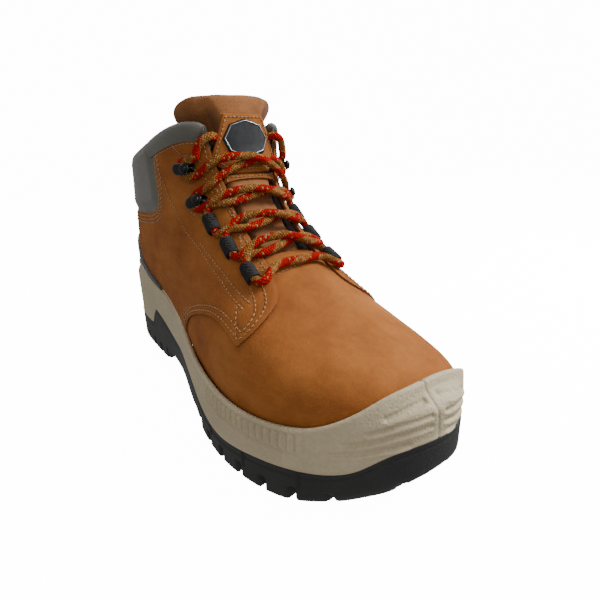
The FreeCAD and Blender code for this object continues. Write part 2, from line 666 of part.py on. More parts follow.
# From the lateral upper hook down to the bottom bar, then up again to the medial upper hook.
WAY = [(LATERAL, "upper"), (MEDIAL, "lower"), (LATERAL, "top"), (MEDIAL, "middle"), (LATERAL, "bottom"),
       (MEDIAL, "bottom"), (LATERAL, "middle"), (MEDIAL, "top"), (LATERAL, "lower"), (MEDIAL, "upper")]
CROSSINGS = [(10.3, CROSS_HIGH), (8.4, CROSS_LOW), (7.15, CROSS_HIGH), (6.15, CROSS_LOW), (5.3, 3.4),
             (6.15, CROSS_HIGH), (7.15, CROSS_LOW), (8.4, CROSS_HIGH), (10.3, CROSS_LOW)]
LACE_END = [(9.2, 85, -9.2), (10.0, 82, -9.2), (11.0, 80, -9.2), (11.9, 73, -9.2), (12.5, 62, -9.0),
            (12.9, 50, -8.9), (13.1, 39, -8.8), (13.3, 29, -8.6), (13.6, 20.5, -6.4), (13.7, 17.8, -2.0),
            (13.6, 20.5, 2.8), (13.3, 27, 4.4), (12.6, 33, 4.4)]


def beside_middle(row, side, station, height):
    """Halfway from a crossing to a hook or loop, resting on the facing or on the strand below."""
    row_station, row_angle = {**HOOKS, **LOOPS}[row]
    rest = 4.7 if height > 5 else 3.4
    return Section(station + 0.45 * (row_station - station), -rest).point(side, row_angle / 2)


def lace_end(side):
    return [Section(station, -height).point(side, angle) for station, angle, height in LACE_END]


def lace_route():
    points = lace_end(LATERAL)
    for place, (side, row) in enumerate(WAY):
        frame = hook_frames.get((side, row)) or loop_frames[side, row]
        offsets = ROUND_HOOK if (side, row) in hook_frames else THROUGH_LOOP
        points += lace_side(frame, offsets, place >= 5)
        if place < len(CROSSINGS):
            next_side, next_row = WAY[place + 1]
            points += [beside_middle(row, side, *CROSSINGS[place]), middle_point(*CROSSINGS[place]),
                       beside_middle(next_row, next_side, *CROSSINGS[place])]
    return points + lace_end(MEDIAL)[::-1]


def cord_path(points):
    """Straight runs joined by tangent arcs, each as large as its two runs allow."""
    edges, radii, start = [], [], points[0]
    for before, corner, after in zip(points, points[1:], points[2:]):
        back, ahead = before - corner, after - corner
        reach = 0.45 * min(back.Length, ahead.Length)
        back.normalize()
        ahead.normalize()
        half_turn = (math.pi - back.getAngle(ahead)) / 2
        radii.append(reach / math.tan(half_turn))
        enter, leave = corner + back * reach, corner + ahead * reach
        inward = back + ahead
        inward.normalize()
        centre = corner + inward * (radii[-1] / math.cos(half_turn))
        middle = centre - inward * radii[-1]
        edges += [Part.LineSegment(start, enter).toShape(), Part.Arc(enter, middle, leave).toShape()]
        start = leave
    edges.append(Part.LineSegment(start, points[-1]).toShape())
    return Part.Wire(edges), radii


def tube_along(path, radius):
    first = path.Edges[0]
    start = first.FirstParameter
    ring = Part.Wire(Part.makeCircle(radius, first.valueAt(start), first.tangentAt(start)))
    return path.makePipeShell([ring], True, False)


route = lace_route()
path, radii = cord_path(route)
lace = tube_along(path, size("lace_dia") / 2)
lace_tips = [Part.makeCylinder(size("lace_dia") / 2 - size("tip_wall"), size("tip_length"), end, end - inner)
             for end, inner in ((route[0], route[1]), (route[-1], route[-2]))]
print("lace length %.1f" % path.Length)
print("bend radii", " ".join("%.1f" % radius for radius in radii))
tube_volume = path.Length * math.pi * size("lace_dia")**2 / 4
print("lace volume / section x length: %.4f" % (lace.Volume / tube_volume))

# ---------------------------------------------------------------- the sub-parts
keep("midsole", largest(midsole))
keep("shank", shank)
keep("insole_board", insole_board)
keep("footbed", largest(footbed))
keep("toe_cap", largest(toe_cap))
keep("toe_cap_strip", cap_strip)
keep("heel_counter", largest(counter))
keep("heel_overlay", heel_overlay)
keep("backstay", backstay)
keep("vamp", largest(vamp))
keep("vamp_lining", largest(vamp_lining))
for side, half in ((LATERAL, lateral_half), (MEDIAL, medial_half)):
    panel = without(quarter_leather.common(half), rivets)
    keep("quarter_" + SIDE_NAMES[side], largest(panel))
    keep("facing_tape_" + SIDE_NAMES[side], largest(without(tapes[side], rivet_holes)))
keep("quarter_lining", largest(without(quarter_lining, rivet_holes)))
keep("collar_cover", largest(collar_cover))
keep("collar_foam", largest(collar_foam))
for (side, row), frame in hook_frames.items():
    make_hook("lace_hook_%s_%s" % (row, SIDE_NAMES[side]), side, frame)
for (side, row), frame in loop_frames.items():
    make_loop("lace_loop_%s_%s" % (row, SIDE_NAMES[side]), side, frame)
keep("hook_rivets", Part.makeCompound(rivets))
keep("hook_washers", Part.makeCompound(washers))
tongue_cover = tongue_layer(FRONT_FACE, UNDER_COVER)
tongue_lining = tongue_layer(OVER_LINING, BACK_FACE)
keep("tongue_cover", tongue_cover)
keep("tongue_foam", tongue_layer(FOAM_FRONT, FOAM_BACK))
keep("tongue_lining", tongue_lining)
keep("tongue_patch", largest(patch.cut(tongue_cover)))
keep("tongue_badge", badge)
keep("lace", lace)
keep("lace_tips", Part.makeCompound(lace_tips))

# ---------------------------------------------------------------- checks and export
# The origin lies under the middle of the sole, which is wider on its lateral side.
to_middle = Placement(Vector(size("origin_to_lateral"), 0, 0), Rotation())
for node in nodes:
    node.Placement = to_middle.multiply(node.Placement)
doc.recompute()
for thing in doc.Objects:
    if "Invalid" in thing.State or "Error" in thing.State:
        raise RuntimeError("%s did not build: %s" % (thing.Label, thing.State))
for node in nodes:
    if node.Shape.isNull() or not node.Shape.isValid():
        raise RuntimeError("%s has no valid shape" % node.Label)
    box = node.Shape.BoundBox
    print("%-24s %2d solids %8.0f mm3  x %6.1f %6.1f  y %6.1f %6.1f  z %6.1f %6.1f" % (
        node.Label, len(node.Shape.Solids), node.Shape.Volume, box.XMin, box.XMax, box.YMin, box.YMax,
        box.ZMin, box.ZMax))
    node.Shape.exportStep("parts/%s.step" % node.Label)
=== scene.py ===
import math

import bpy
import numpy as np
from mathutils import Matrix, Vector
from mathutils.bvhtree import BVHTree


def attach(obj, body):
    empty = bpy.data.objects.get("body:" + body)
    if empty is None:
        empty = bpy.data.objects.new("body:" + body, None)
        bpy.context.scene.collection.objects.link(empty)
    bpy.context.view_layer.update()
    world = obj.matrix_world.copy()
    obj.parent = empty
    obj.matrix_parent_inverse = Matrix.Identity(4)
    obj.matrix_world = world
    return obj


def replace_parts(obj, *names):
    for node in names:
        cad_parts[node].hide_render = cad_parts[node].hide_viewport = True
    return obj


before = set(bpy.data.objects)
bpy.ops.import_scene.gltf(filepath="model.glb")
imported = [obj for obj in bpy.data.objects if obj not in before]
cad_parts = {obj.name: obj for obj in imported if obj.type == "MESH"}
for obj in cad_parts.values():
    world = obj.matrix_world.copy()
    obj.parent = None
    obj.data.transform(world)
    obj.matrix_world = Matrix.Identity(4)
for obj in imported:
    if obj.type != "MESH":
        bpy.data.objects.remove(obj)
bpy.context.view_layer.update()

MM = 0.001
SHIFT = np.array([4.42, 0, 0])      # from the last's centre line to the frame's origin, mm
LATERAL, MEDIAL = -1, 1
rng = np.random.default_rng(7)

# ------------------------------------------------------------------ camera
CAMERA_AT = (-0.1326, -0.2444, 0.1532)
CAMERA_AZIMUTH, CAMERA_ELEVATION, CAMERA_ROLL = -35.5, 19.74, -1.2
SENSOR_MM, LENS_MM = 36.0, 25.70
FLOOR_GLOW = 14.0


def make_camera():
    azimuth, elevation, roll = (math.radians(a) for a in (CAMERA_AZIMUTH, CAMERA_ELEVATION, CAMERA_ROLL))
    back = Vector((math.sin(azimuth) * math.cos(elevation), -math.cos(azimuth) * math.cos(elevation),
                   math.sin(elevation)))
    right = Vector((math.cos(azimuth), math.sin(azimuth), 0))
    up = back.cross(right)
    turned_right = right * math.cos(roll) + up * math.sin(roll)
    turned_up = up * math.cos(roll) - right * math.sin(roll)
    camera = bpy.data.objects.new("camera", bpy.data.cameras.new("camera"))
    bpy.context.scene.collection.objects.link(camera)
    turn = Matrix((turned_right, turned_up, back)).transposed().to_4x4()
    camera.matrix_world = Matrix.Translation(Vector(CAMERA_AT) + Vector(SHIFT) * MM) @ turn
    camera.data.sensor_width, camera.data.lens = SENSOR_MM, LENS_MM
    camera.data.clip_start = 0.01
    bpy.context.scene.camera = camera


make_camera()

# ------------------------------------------------------------------ the lasted form, as in the CAD model, mm
STATIONS = np.array([
    (-148, 46, -148, 31, 15, 15, .42, 2.2, 2.8), (-142, 56.5, -142, 27, 29, 27, .40, 2.3, 3.0),
    (-128, 64, -127, 25, 43, 36, .38, 2.35, 3.2), (-108, 70.5, -104, 23.5, 54, 42, .36, 2.35, 3.3),
    (-86, 79, -78, 22.5, 58, 46, .33, 2.3, 3.3), (-66, 89.5, -48, 22, 56, 46, .30, 2.3, 3.3),
    (-49, 99.5, -15, 24, 51, 43, .29, 2.35, 3.2), (-34, 110.5, 22, 27, 46, 40, .30, 2.5, 3.0),
    (-22, 122, 60, 30, 43, 38, .32, 2.6, 2.8), (-15, 132, 98, 31, 42, 38, .36, 2.7, 2.6),
    (-11, 142, 128, 33, 41, 38, .42, 2.8, 2.5), (-9, 149, 146, 44, 40.5, 38, .46, 2.9, 2.4),
    (-8, 154, 151, 62, 40, 38, .48, 3.0, 2.35), (-7.5, 158, 148, 82, 40, 38, .50, 3.0, 2.3),
    (-7, 162, 141, 102, 40, 38, .50, 3.0, 2.3), (-6.5, 167, 134, 124, 40.5, 38, .50, 3.0, 2.3),
    (-6, 173, 130, 146, 41, 39, .50, 3.0, 2.3), (-5, 181, 128, 165, 41, 39, .50, 3.0, 2.3)])
SWING_START, SWING_LENGTH, SWING_AT_TOE = -45.0, 104.0, 9.2
STEEPEST = 0.5


def spline_through(rows):
    """Natural cubic through the rows at 0, 1, 2 and so on: a function of an array of places."""
    rows = np.asarray(rows, float)
    last = len(rows) - 1
    system = np.eye(last + 1)
    right = np.zeros_like(rows)
    for i in range(1, last):
        system[i, i - 1:i + 2] = 1, 4, 1
        right[i] = 6 * (rows[i + 1] - 2 * rows[i] + rows[i - 1])
    bends = np.linalg.solve(system, right)

    def at(places):
        places = np.asarray(places, float)
        i = np.clip(places.astype(int), 0, last - 1)
        far = (places - i)[..., None]
        near = 1 - far
        bent = (near**3 - near) * bends[i] + (far**3 - far) * bends[i + 1]
        return near * rows[i] + far * rows[i + 1] + bent / 6

    return at


station_at = spline_through(STATIONS)


def swing(y):
    return SWING_AT_TOE * np.clip((SWING_START - y) / SWING_LENGTH, 0, None) ** 1.5


def form(station, side, angle, height=0.0):
    """Points on the form, mm: angle runs from the section's top (0) to its bottom (180)."""
    station, side, angle, height = np.broadcast_arrays(np.asarray(station, float), side, angle, height)
    here = station_at(station)
    step = station_at(np.minimum(station + .04, len(STATIONS) - 1)) - station_at(np.maximum(station - .04, 0))
    top_y, top_z, low_y, low_z, lateral, medial, waist, top_power, low_power = np.moveaxis(here, -1, 0)
    tall = np.hypot(low_y - top_y, low_z - top_z)
    down_y, down_z = (low_y - top_y) / tall, (low_z - top_z) / tall

    def aslant(step_y, step_z):
        return np.maximum(np.abs(step_y * down_z - step_z * down_y) / np.hypot(step_y, step_z), STEEPEST)

    advance = np.abs((step[..., 0] + step[..., 2]) * down_z - (step[..., 1] + step[..., 3]) * down_y) / 2
    half, flare = np.where(side < 0, lateral, medial), np.where(side < 0, step[..., 4], step[..., 5])
    half = half + height / np.maximum(advance / np.hypot(advance, flare), STEEPEST)
    top_height = height / aslant(step[..., 0], step[..., 1])
    low_height = height / aslant(step[..., 2], step[..., 3])
    top_y, top_z = top_y - top_height * down_y, top_z - top_height * down_z
    low_y, low_z = low_y + low_height * down_y, low_z + low_height * down_z
    turn = np.radians(angle)
    rise = np.cos(turn)
    power = 2 / np.where(rise > 0, top_power, low_power)
    share = waist + np.where(rise > 0, 1 - waist, -waist) * np.abs(rise) ** power
    y, z = low_y + (top_y - low_y) * share, low_z + (top_z - low_z) * share
    return np.stack([side * half * np.abs(np.sin(turn)) ** power + swing(y), y, z], -1)


def even_angles(station, side, count):
    """Angles that divide one side of a section into equal lengths."""
    fine = np.arange(181.0)
    points = form(station, side, fine)
    run = np.concatenate([[0], np.cumsum(np.linalg.norm(np.diff(points, axis=0), axis=1))])
    return np.interp(np.linspace(0, run[-1], count + 1), run, fine)


def form_grid(stations, count):
    """Station, side and angle of a net of points round the whole form."""
    rows = []
    for station in stations:
        lateral, medial = even_angles(station, LATERAL, count), even_angles(station, MEDIAL, count)
        rows.append(np.concatenate([lateral, medial[-2:0:-1]]))
    angle = np.array(rows)
    side = np.where(np.arange(angle.shape[1]) <= count, LATERAL, MEDIAL)
    station = np.repeat(np.asarray(stations)[:, None], angle.shape[1], 1)
    return station, np.broadcast_to(side, angle.shape), angle


# ------------------------------------------------------------------ mesh tools
def net_triangles(rows, columns, closed):
    """Triangles of a net of points, closed round its columns or not."""
    across = columns if closed else columns - 1
    r, c = np.meshgrid(np.arange(rows - 1), np.arange(across), indexing="ij")
    a, b = r * columns + c, r * columns + (c + 1) % columns
    d, e = a + columns, b + columns
    return np.concatenate([np.stack([a, b, e], -1).reshape(-1, 3), np.stack([a, e, d], -1).reshape(-1, 3)])


def compact(data, triangles):
    used = np.unique(triangles)
    place = np.full(len(data), -1)
    place[used] = np.arange(len(used))
    return data[used], place[triangles]


def clip(data, triangles, keep):
    """Keeps the part of a mesh where keep is positive. Every column of data is carried to the cut."""
    inside = keep >= 0
    count = inside[triangles].sum(1)
    whole, crossed = triangles[count == 3], triangles[(count == 1) | (count == 2)]
    new_points, new_triangles, made = [], [], {}

    def cut_point(a, b):
        key = (min(a, b), max(a, b))
        if key not in made:
            share = keep[a] / (keep[a] - keep[b])
            made[key] = len(data) + len(new_points)
            new_points.append(data[a] + (data[b] - data[a]) * share)
        return made[key]

    for triangle in crossed.tolist():
        for turn in range(3):
            a, b, c = triangle[turn:] + triangle[:turn]
            if inside[a] and not inside[b] and not inside[c]:
                new_triangles.append((a, cut_point(a, b), cut_point(c, a)))
            elif inside[a] and inside[b] and not inside[c]:
                bc, ca = cut_point(b, c), cut_point(c, a)
                new_triangles += [(a, b, bc), (a, bc, ca)]
    if new_points:
        data = np.concatenate([data, np.array(new_points)])
        whole = np.concatenate([whole, np.array(new_triangles)])
    return compact(data, whole)


def normals_of(points, triangles):
    a, b, c = (points[triangles[:, k]] for k in range(3))
    face = np.cross(b - a, c - a)
    normals = np.zeros_like(points)
    for k in range(3):
        np.add.at(normals, triangles[:, k], face)
    return normals / np.maximum(np.linalg.norm(normals, axis=1, keepdims=True), 1e-12)


def open_edges(triangles):
    """Edges with a face on one side only, in that face's direction."""
    edges = np.concatenate([triangles[:, [0, 1]], triangles[:, [1, 2]], triangles[:, [2, 0]]])
    key = np.sort(edges, 1)
    _, first, count = np.unique(key, axis=0, return_index=True, return_counts=True)
    return edges[first[count == 1]]


def make_object(name, points, faces, materials, face_slots=None, attributes=None, sharp=None):
    """A mesh object from points in mm."""
    mesh = bpy.data.meshes.new(name)
    mesh.from_pydata(((np.asarray(points) + SHIFT) * MM).tolist(), [], [list(face) for face in faces])
    for material in materials:
        mesh.materials.append(material)
    mesh.polygons.foreach_set("use_smooth", np.ones(len(mesh.polygons), bool))
    if face_slots is not None:
        mesh.polygons.foreach_set("material_index", np.asarray(face_slots, np.int32))
    for label, values in (attributes or {}).items():
        mesh.attributes.new(label, "FLOAT", "POINT").data.foreach_set("value", np.asarray(values, np.float32))
    if sharp is not None and len(sharp):
        wanted = {tuple(sorted(edge)) for edge in np.asarray(sharp).tolist()}
        for edge in mesh.edges:
            if tuple(sorted(edge.vertices)) in wanted:
                edge.use_edge_sharp = True
    mesh.update()
    piece = bpy.data.objects.new(name, mesh)
    bpy.context.scene.collection.objects.link(piece)
    return piece


def thick_piece(name, data, triangles, thickness, materials, labels=()):
    """A sheet given thickness inwards, with its cut edge in the second material."""
    points = data[:, :3]
    normals = normals_of(points, triangles)
    thickness = np.broadcast_to(thickness, len(points))[:, None]
    rim = open_edges(triangles)
    total = len(points)
    middle_of = {}
    ring_points = []
    for vertex in np.unique(rim).tolist():
        middle_of[vertex] = 2 * total + len(ring_points)
        ring_points.append(points[vertex] - normals[vertex] * thickness[vertex] * 0.5)
    everything = np.concatenate([points, points - normals * thickness, np.array(ring_points).reshape(-1, 3)])
    sides = []
    for a, b in rim.tolist():
        sides += [(b, a, middle_of[a], middle_of[b]), (middle_of[b], middle_of[a], a + total, b + total)]
    faces = triangles.tolist() + (triangles[:, ::-1] + total).tolist() + sides
    slots = [0] * (2 * len(triangles)) + [1] * len(sides)
    ring_index = np.array(list(middle_of), int)
    attributes = {label: np.concatenate([data[:, 3 + k], data[:, 3 + k], data[ring_index, 3 + k]])
                  for k, label in enumerate(labels)}
    return make_object(name, everything, faces, materials, slots, attributes,
                       np.concatenate([rim, rim + total]))


def polygon_distance(points, polygon):
    """Signed distance to a closed outline in the plane, positive inside."""
    polygon = np.asarray(polygon, float)
    start, end = polygon, np.roll(polygon, -1, 0)
    best = np.full(len(points), 1e9)
    inside = np.zeros(len(points), bool)
    for a, b in zip(start, end):
        along = b - a
        share = np.clip(((points - a) @ along) / max(along @ along, 1e-9), 0, 1)
        best = np.minimum(best, np.linalg.norm(points - a - share[:, None] * along, axis=1))
        crosses = (a[1] > points[:, 1]) != (b[1] > points[:, 1])
        with np.errstate(divide="ignore", invalid="ignore"):
            x = a[0] + (points[:, 1] - a[1]) * along[0] / along[1]
        inside ^= crosses & (points[:, 0] < x)
    return np.where(inside, best, -best)


def smooth_min(a, b, radius):
    share = np.clip(0.5 + 0.5 * (b - a) / radius, 0, 1)
    return b + (a - b) * share - radius * share * (1 - share)


def smooth_step(low, high, value):
    share = np.clip((value - low) / (high - low), 0, 1)
    return share * share * (3 - 2 * share)


def curve_points(points, steps=8):
    at = spline_through(points)
    return at(np.linspace(0, len(points) - 1, (len(points) - 1) * steps + 1))


# ------------------------------------------------------------------ seams, (y, z) seen from the side
TOP_LINE = curve_points([(-14, 152), (-7, 161), (3, 166), (18, 164.5), (38, 159.5), (62, 153.5), (92, 148),
                         (122, 144.5), (150, 142)])
QUARTER_LOW_EDGE = curve_points([(-3, 50), (-13, 59), (-28, 65.3), (-42, 68.8), (-57, 68.6), (-75.8, 63.4)])
QUARTER_FRONT_EDGE = curve_points([(-75.8, 63.4), (-79.2, 70), (-78, 77), (-71.4, 83.5), (-58, 91.5)])
FACING_X = np.array([17.5, 17.5, 17.5, 20.8, 22, 24])
FACING_Z = np.array([60, 92, 132, 147, 158, 200])
THROAT_Y = -55.0
COLLAR_FRONT = curve_points([(39, 161), (42, 148), (43, 132), (44.5, 120), (54, 113), (90, 109.5),
                             (160, 108)])
MIDSOLE_TOP = curve_points([(-170, 58), (-156, 57.5), (-147, 54.5), (-139, 48.5), (-128, 41.5), (-112, 37.5),
                            (-80, 36.5), (-50, 37.5), (-22, 38), (-4, 43.6), (12, 49.6), (32, 54.8),
                            (50, 58.5), (80, 62), (110, 65.5), (170, 66)])
PARTING = np.concatenate([curve_points([
    (-170, 38), (-150, 33), (-138, 23), (-120, 19), (-98, 17.5), (-74, 15), (-55, 16.5), (-40, 21),
    (-22, 26.5), (5, 27), (32, 27.5), (54, 33), (72, 37)]), [(78, 31), (83, 23), (88, 22), (170, 21)]])
LEDGE = curve_points([(-170, 52), (-154, 50), (-146, 45), (-136, 38), (-120, 33), (-40, 34), (0, 38),
                      (40, 50), (90, 57), (170, 58)])
GROUND_LINE = np.array([(-170, 24), (-157, 14), (-148, 6.5), (-136, 2.6), (-120, 0.8), (-104, 0), (-42, 0),
                        (-36, 8), (50, 9), (57, 0), (143, 0), (150, 1.2), (157, 4)])
BAND = 5.5


def line_at(line, y):
    return np.interp(y, line[:, 0], line[:, 1])


# ------------------------------------------------------------------ the upper's net
ROWS_PER_STATION, COLUMNS_PER_SIDE = 26, 150
net_stations = np.linspace(0, 17, 17 * ROWS_PER_STATION + 1)
station, side, angle = form_grid(net_stations, COLUMNS_PER_SIDE)
base = form(station, side, angle)
net_shape = base.shape[:2]
flat = base.reshape(-1, 3)
side_view = flat[:, 1:]
net_faces = net_triangles(*net_shape, closed=True)[:, ::-1]

quarter_outline = np.concatenate([[(-3, -10)], QUARTER_LOW_EDGE, QUARTER_FRONT_EDGE[1:],
                                  [(-58, 260), (200, 260), (200, -10)]])
behind_edge = polygon_distance(side_view, quarter_outline)
facing_gap = np.where(flat[:, 1] < 30, np.abs(flat[:, 0]) - np.interp(flat[:, 2], FACING_Z, FACING_X), 60.0)
under_top = polygon_distance(side_view, np.concatenate([TOP_LINE, [(200, 142), (200, -20), (-200, -20),
                                                                   (-200, 152)]]))
in_collar = polygon_distance(side_view, np.concatenate([COLLAR_FRONT, [(200, 108), (200, 260), (39, 260)]]))
above_sole = flat[:, 2] - line_at(MIDSOLE_TOP, flat[:, 1]) + 7.0


def upper_patch(height, keep, extra=()):
    """The net at a height over the form, clipped to a seam line, with extra columns of values."""
    points = form(station, side, angle, np.reshape(height, net_shape)).reshape(-1, 3)
    data = np.column_stack([points, keep] + list(extra))
    data, triangles = clip(data, net_faces, keep)
    return data, triangles


# ------------------------------------------------------------------ seam lines and stitches
def signed_line(points, line):
    """Signed distance to an open line in the plane, and how far inside its two ends a point lies."""
    line = np.asarray(line, float)
    best, sign = np.full(len(points), 1e9), np.ones(len(points))
    for a, b in zip(line, line[1:]):
        along = b - a
        share = np.clip(((points - a) @ along) / (along @ along), 0, 1)
        away = points - a - share[:, None] * along
        distance = np.linalg.norm(away, axis=1)
        nearer = distance < best
        best = np.where(nearer, distance, best)
        sign = np.where(nearer, np.sign(along[0] * away[:, 1] - along[1] * away[:, 0]), sign)
    first, last = line[1] - line[0], line[-2] - line[-1]
    near_start = (points - line[0]) @ first / np.linalg.norm(first)
    near_end = (points - line[-1]) @ last / np.linalg.norm(last)
    start_gap, end_gap = (np.linalg.norm(points - p, axis=1) for p in (line[0], line[-1]))
    inside = np.where(start_gap < end_gap, near_start, near_end)
    return best * sign, np.where(np.minimum(start_gap, end_gap) > 30, 30, inside)


def contours(points, normals, triangles, values, mask):
    """Lines on a mesh where values are zero, as lists of points and normals, only where mask is positive."""
    ok = (mask[triangles] > 0).all(1)
    above = values[triangles] > 0
    crossed = triangles[ok & (above.any(1)) & (~above.all(1))]
    links, spots = {}, {}
    for triangle in crossed.tolist():
        ends = []
        for a, b in ((0, 1), (1, 2), (2, 0)):
            a, b = triangle[a], triangle[b]
            if (values[a] > 0) != (values[b] > 0):
                key = (min(a, b), max(a, b))
                if key not in spots:
                    share = values[key[0]] / (values[key[0]] - values[key[1]])
                    spots[key] = (points[key[0]] * (1 - share) + points[key[1]] * share,
                                  normals[key[0]] * (1 - share) + normals[key[1]] * share)
                ends.append(key)
        if len(ends) == 2:
            links.setdefault(ends[0], []).append(ends[1])
            links.setdefault(ends[1], []).append(ends[0])
    lines, seen = [], set()
    for start in sorted(links, key=lambda k: len(links[k])):
        if start in seen:
            continue
        chain, here = [start], start
        seen.add(start)
        while True:
            ahead = [k for k in links[here] if k not in seen]
            if not ahead:
                break
            here = ahead[0]
            seen.add(here)
            chain.append(here)
        if len(chain) > 3:
            lines.append((np.array([spots[k][0] for k in chain]), np.array([spots[k][1] for k in chain])))
    return lines


STITCH_PITCH, STITCH_LONG, STITCH_RADIUS = 2.9, 2.15, 0.36


def stitch_row(line, normals, pitch=STITCH_PITCH, length=STITCH_LONG, radius=STITCH_RADIUS):
    """Thread laid along a line in separate stitches: vertices and faces."""
    steps = np.linalg.norm(np.diff(line, axis=0), axis=1)
    run = np.concatenate([[0], np.cumsum(steps)])
    count = int(run[-1] / pitch)
    rings, around = 6, 6
    vertices, faces = [], []
    for k in range(count):
        starts = (k + 0.5) * pitch + rng.uniform(-.12, .12)
        places = starts + np.linspace(-0.5, 0.5, rings) * length
        middle = np.stack([np.interp(places, run, line[:, c]) for c in range(3)], -1)
        normal = np.stack([np.interp(places, run, normals[:, c]) for c in range(3)], -1)
        normal /= np.linalg.norm(normal, axis=1, keepdims=True)
        along = middle[-1] - middle[0]
        if np.linalg.norm(along) < 0.3 * length:
            continue
        along /= np.linalg.norm(along)
        across = np.cross(along, normal)
        across /= np.linalg.norm(across, axis=1, keepdims=True)
        share = np.linspace(-1, 1, rings)
        lift = 0.32 * (1 - share**4) - 0.30
        fat = radius * np.sqrt(1 - (share * 0.93)**2)
        base = len(vertices)
        for r in range(rings):
            for a in range(around):
                turn = 2 * math.pi * a / around
                vertices.append(middle[r] + normal[r] * (lift[r] + 0.30 + fat[r] * math.sin(turn) * 0.8)
                                + across[r] * fat[r] * math.cos(turn))
        for r in range(rings - 1):
            for a in range(around):
                b = (a + 1) % around
                faces.append((base + r * around + a, base + r * around + b,
                              base + (r + 1) * around + b, base + (r + 1) * around + a))
        faces.append(tuple(base + a for a in range(around))[::-1])
        faces.append(tuple(base + (rings - 1) * around + a for a in range(around)))
    return vertices, faces


def sew(name, rows, material, body="boot", **sizes):
    """One piece for many rows of stitches. A row is a line and its normals."""
    vertices, faces = [], []
    for line, normals in rows:
        more, more_faces = stitch_row(line, normals, **sizes)
        faces += [tuple(v + len(vertices) for v in face) for face in more_faces]
        vertices += more
    piece = make_object(name, np.array(vertices), faces, [material])
    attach(piece, body)
    return piece


# ------------------------------------------------------------------ materials
class Shader:
    """A node material built a node at a time."""

    def __init__(self, name):
        self.material = bpy.data.materials.new(name)
        self.material.use_nodes = True
        self.tree = self.material.node_tree
        self.main = self.tree.nodes["Principled BSDF"]

    def add(self, kind, inputs=None, **settings):
        node = self.tree.nodes.new("ShaderNode" + kind)
        for key, value in settings.items():
            setattr(node, key, value)
        self.feed(node, inputs or {})
        return node

    def feed(self, node, inputs):
        for key, value in inputs.items():
            if isinstance(value, bpy.types.Node):
                value = value.outputs[0]
            if isinstance(value, bpy.types.NodeSocket):
                self.tree.links.new(value, node.inputs[key])
            else:
                node.inputs[key].default_value = value

    def place(self):
        return self.add("TexCoord").outputs["Object"]

    def noise(self, scale, detail=3.0, roughness=0.55, where=None, stretch=None):
        vector = where or self.place()
        if stretch:
            vector = self.add("Mapping", {"Vector": vector, "Scale": stretch}).outputs[0]
        return self.add("TexNoise", {"Vector": vector, "Scale": scale, "Detail": detail,
                                     "Roughness": roughness})

    def ramp(self, value, stops):
        ramp = self.add("ValToRGB", {"Fac": value})
        elements = ramp.color_ramp.elements
        while len(elements) < len(stops):
            elements.new(0.5)
        for element, (position, color) in zip(elements, stops):
            element.position = position
            element.color = (*color, 1) if len(color) == 3 else color
        return ramp

    def math(self, operation, a, b=0.0):
        return self.add("Math", {0: a, 1: b}, operation=operation)

    def mix(self, share, a, b, blend="MIX"):
        node = self.add("Mix", data_type="RGBA", blend_type=blend)
        for index, value in ((0, share), (6, a), (7, b)):
            if isinstance(value, bpy.types.Node):
                value = value.outputs[0]
            if isinstance(value, bpy.types.NodeSocket):
                self.tree.links.new(value, node.inputs[index])
            else:
                node.inputs[index].default_value = value
        return node.outputs[2]

    def bump(self, height, distance_mm, strength=1.0, under=None):
        inputs = {"Height": height, "Distance": distance_mm * MM, "Strength": strength}
        if under:
            inputs["Normal"] = under
        return self.add("Bump", inputs)


def grey(value):
    return (value, value, value)


def rgb(color):
    return (*color, 1)


def leather_material(name, dark, base, light, roughness=0.78, nap=1.0, sheen=0.0):
    """Nubuck: a soft even nap, cloudy in tone, with faint creases and scuffs."""
    shader = Shader(name)
    clouds = shader.ramp(shader.noise(26, 5), [(0.30, dark), (0.52, base), (0.74, light)])
    scuffs = shader.ramp(shader.noise(85, 6, 0.7, stretch=(1, 0.45, 1.6)),
                         [(0.36, grey(0.80)), (0.56, grey(1.0)), (0.75, grey(1.13))])
    fine = shader.ramp(shader.noise(1500, 2), [(0.3, grey(0.86)), (0.7, grey(1.12))])
    color = shader.mix(0.75, clouds, scuffs, "MULTIPLY")
    color = shader.mix(0.55 * nap, color, fine, "MULTIPLY")
    crease = shader.ramp(shader.noise(42, 8, 0.62, stretch=(1, 1.9, 0.7)),
                         [(0.47, grey(0.5)), (0.5, grey(0.0)), (0.53, grey(0.5))])
    low = shader.bump(shader.noise(60, 4), 0.8, 0.5)
    lines = shader.bump(crease, 0.15, 0.35, low)
    nappy = shader.bump(shader.noise(1900, 4, 0.7), 0.10 * nap, 0.9, lines)
    shader.feed(shader.main, {"Base Color": color, "Roughness": roughness, "Normal": nappy,
                              "Sheen Weight": sheen, "Sheen Roughness": 0.5, "Specular IOR Level": 0.12})
    return shader.material


NUBUCK_DARK, NUBUCK_BASE, NUBUCK_LIGHT = (0.255, 0.076, 0.017), (0.335, 0.113, 0.024), (0.40, 0.150, 0.036)
nubuck = leather_material("nubuck", NUBUCK_DARK, NUBUCK_BASE, NUBUCK_LIGHT)
nubuck_edge = leather_material("nubuck_cut_edge", (0.13, 0.050, 0.025),
                               (0.22, 0.085, 0.045), (0.30, 0.13, 0.07), 0.9)
suede = leather_material("suede", (0.20, 0.078, 0.028),
                         (0.29, 0.118, 0.042), (0.40, 0.17, 0.065), 0.95, 2.6, 0.1)


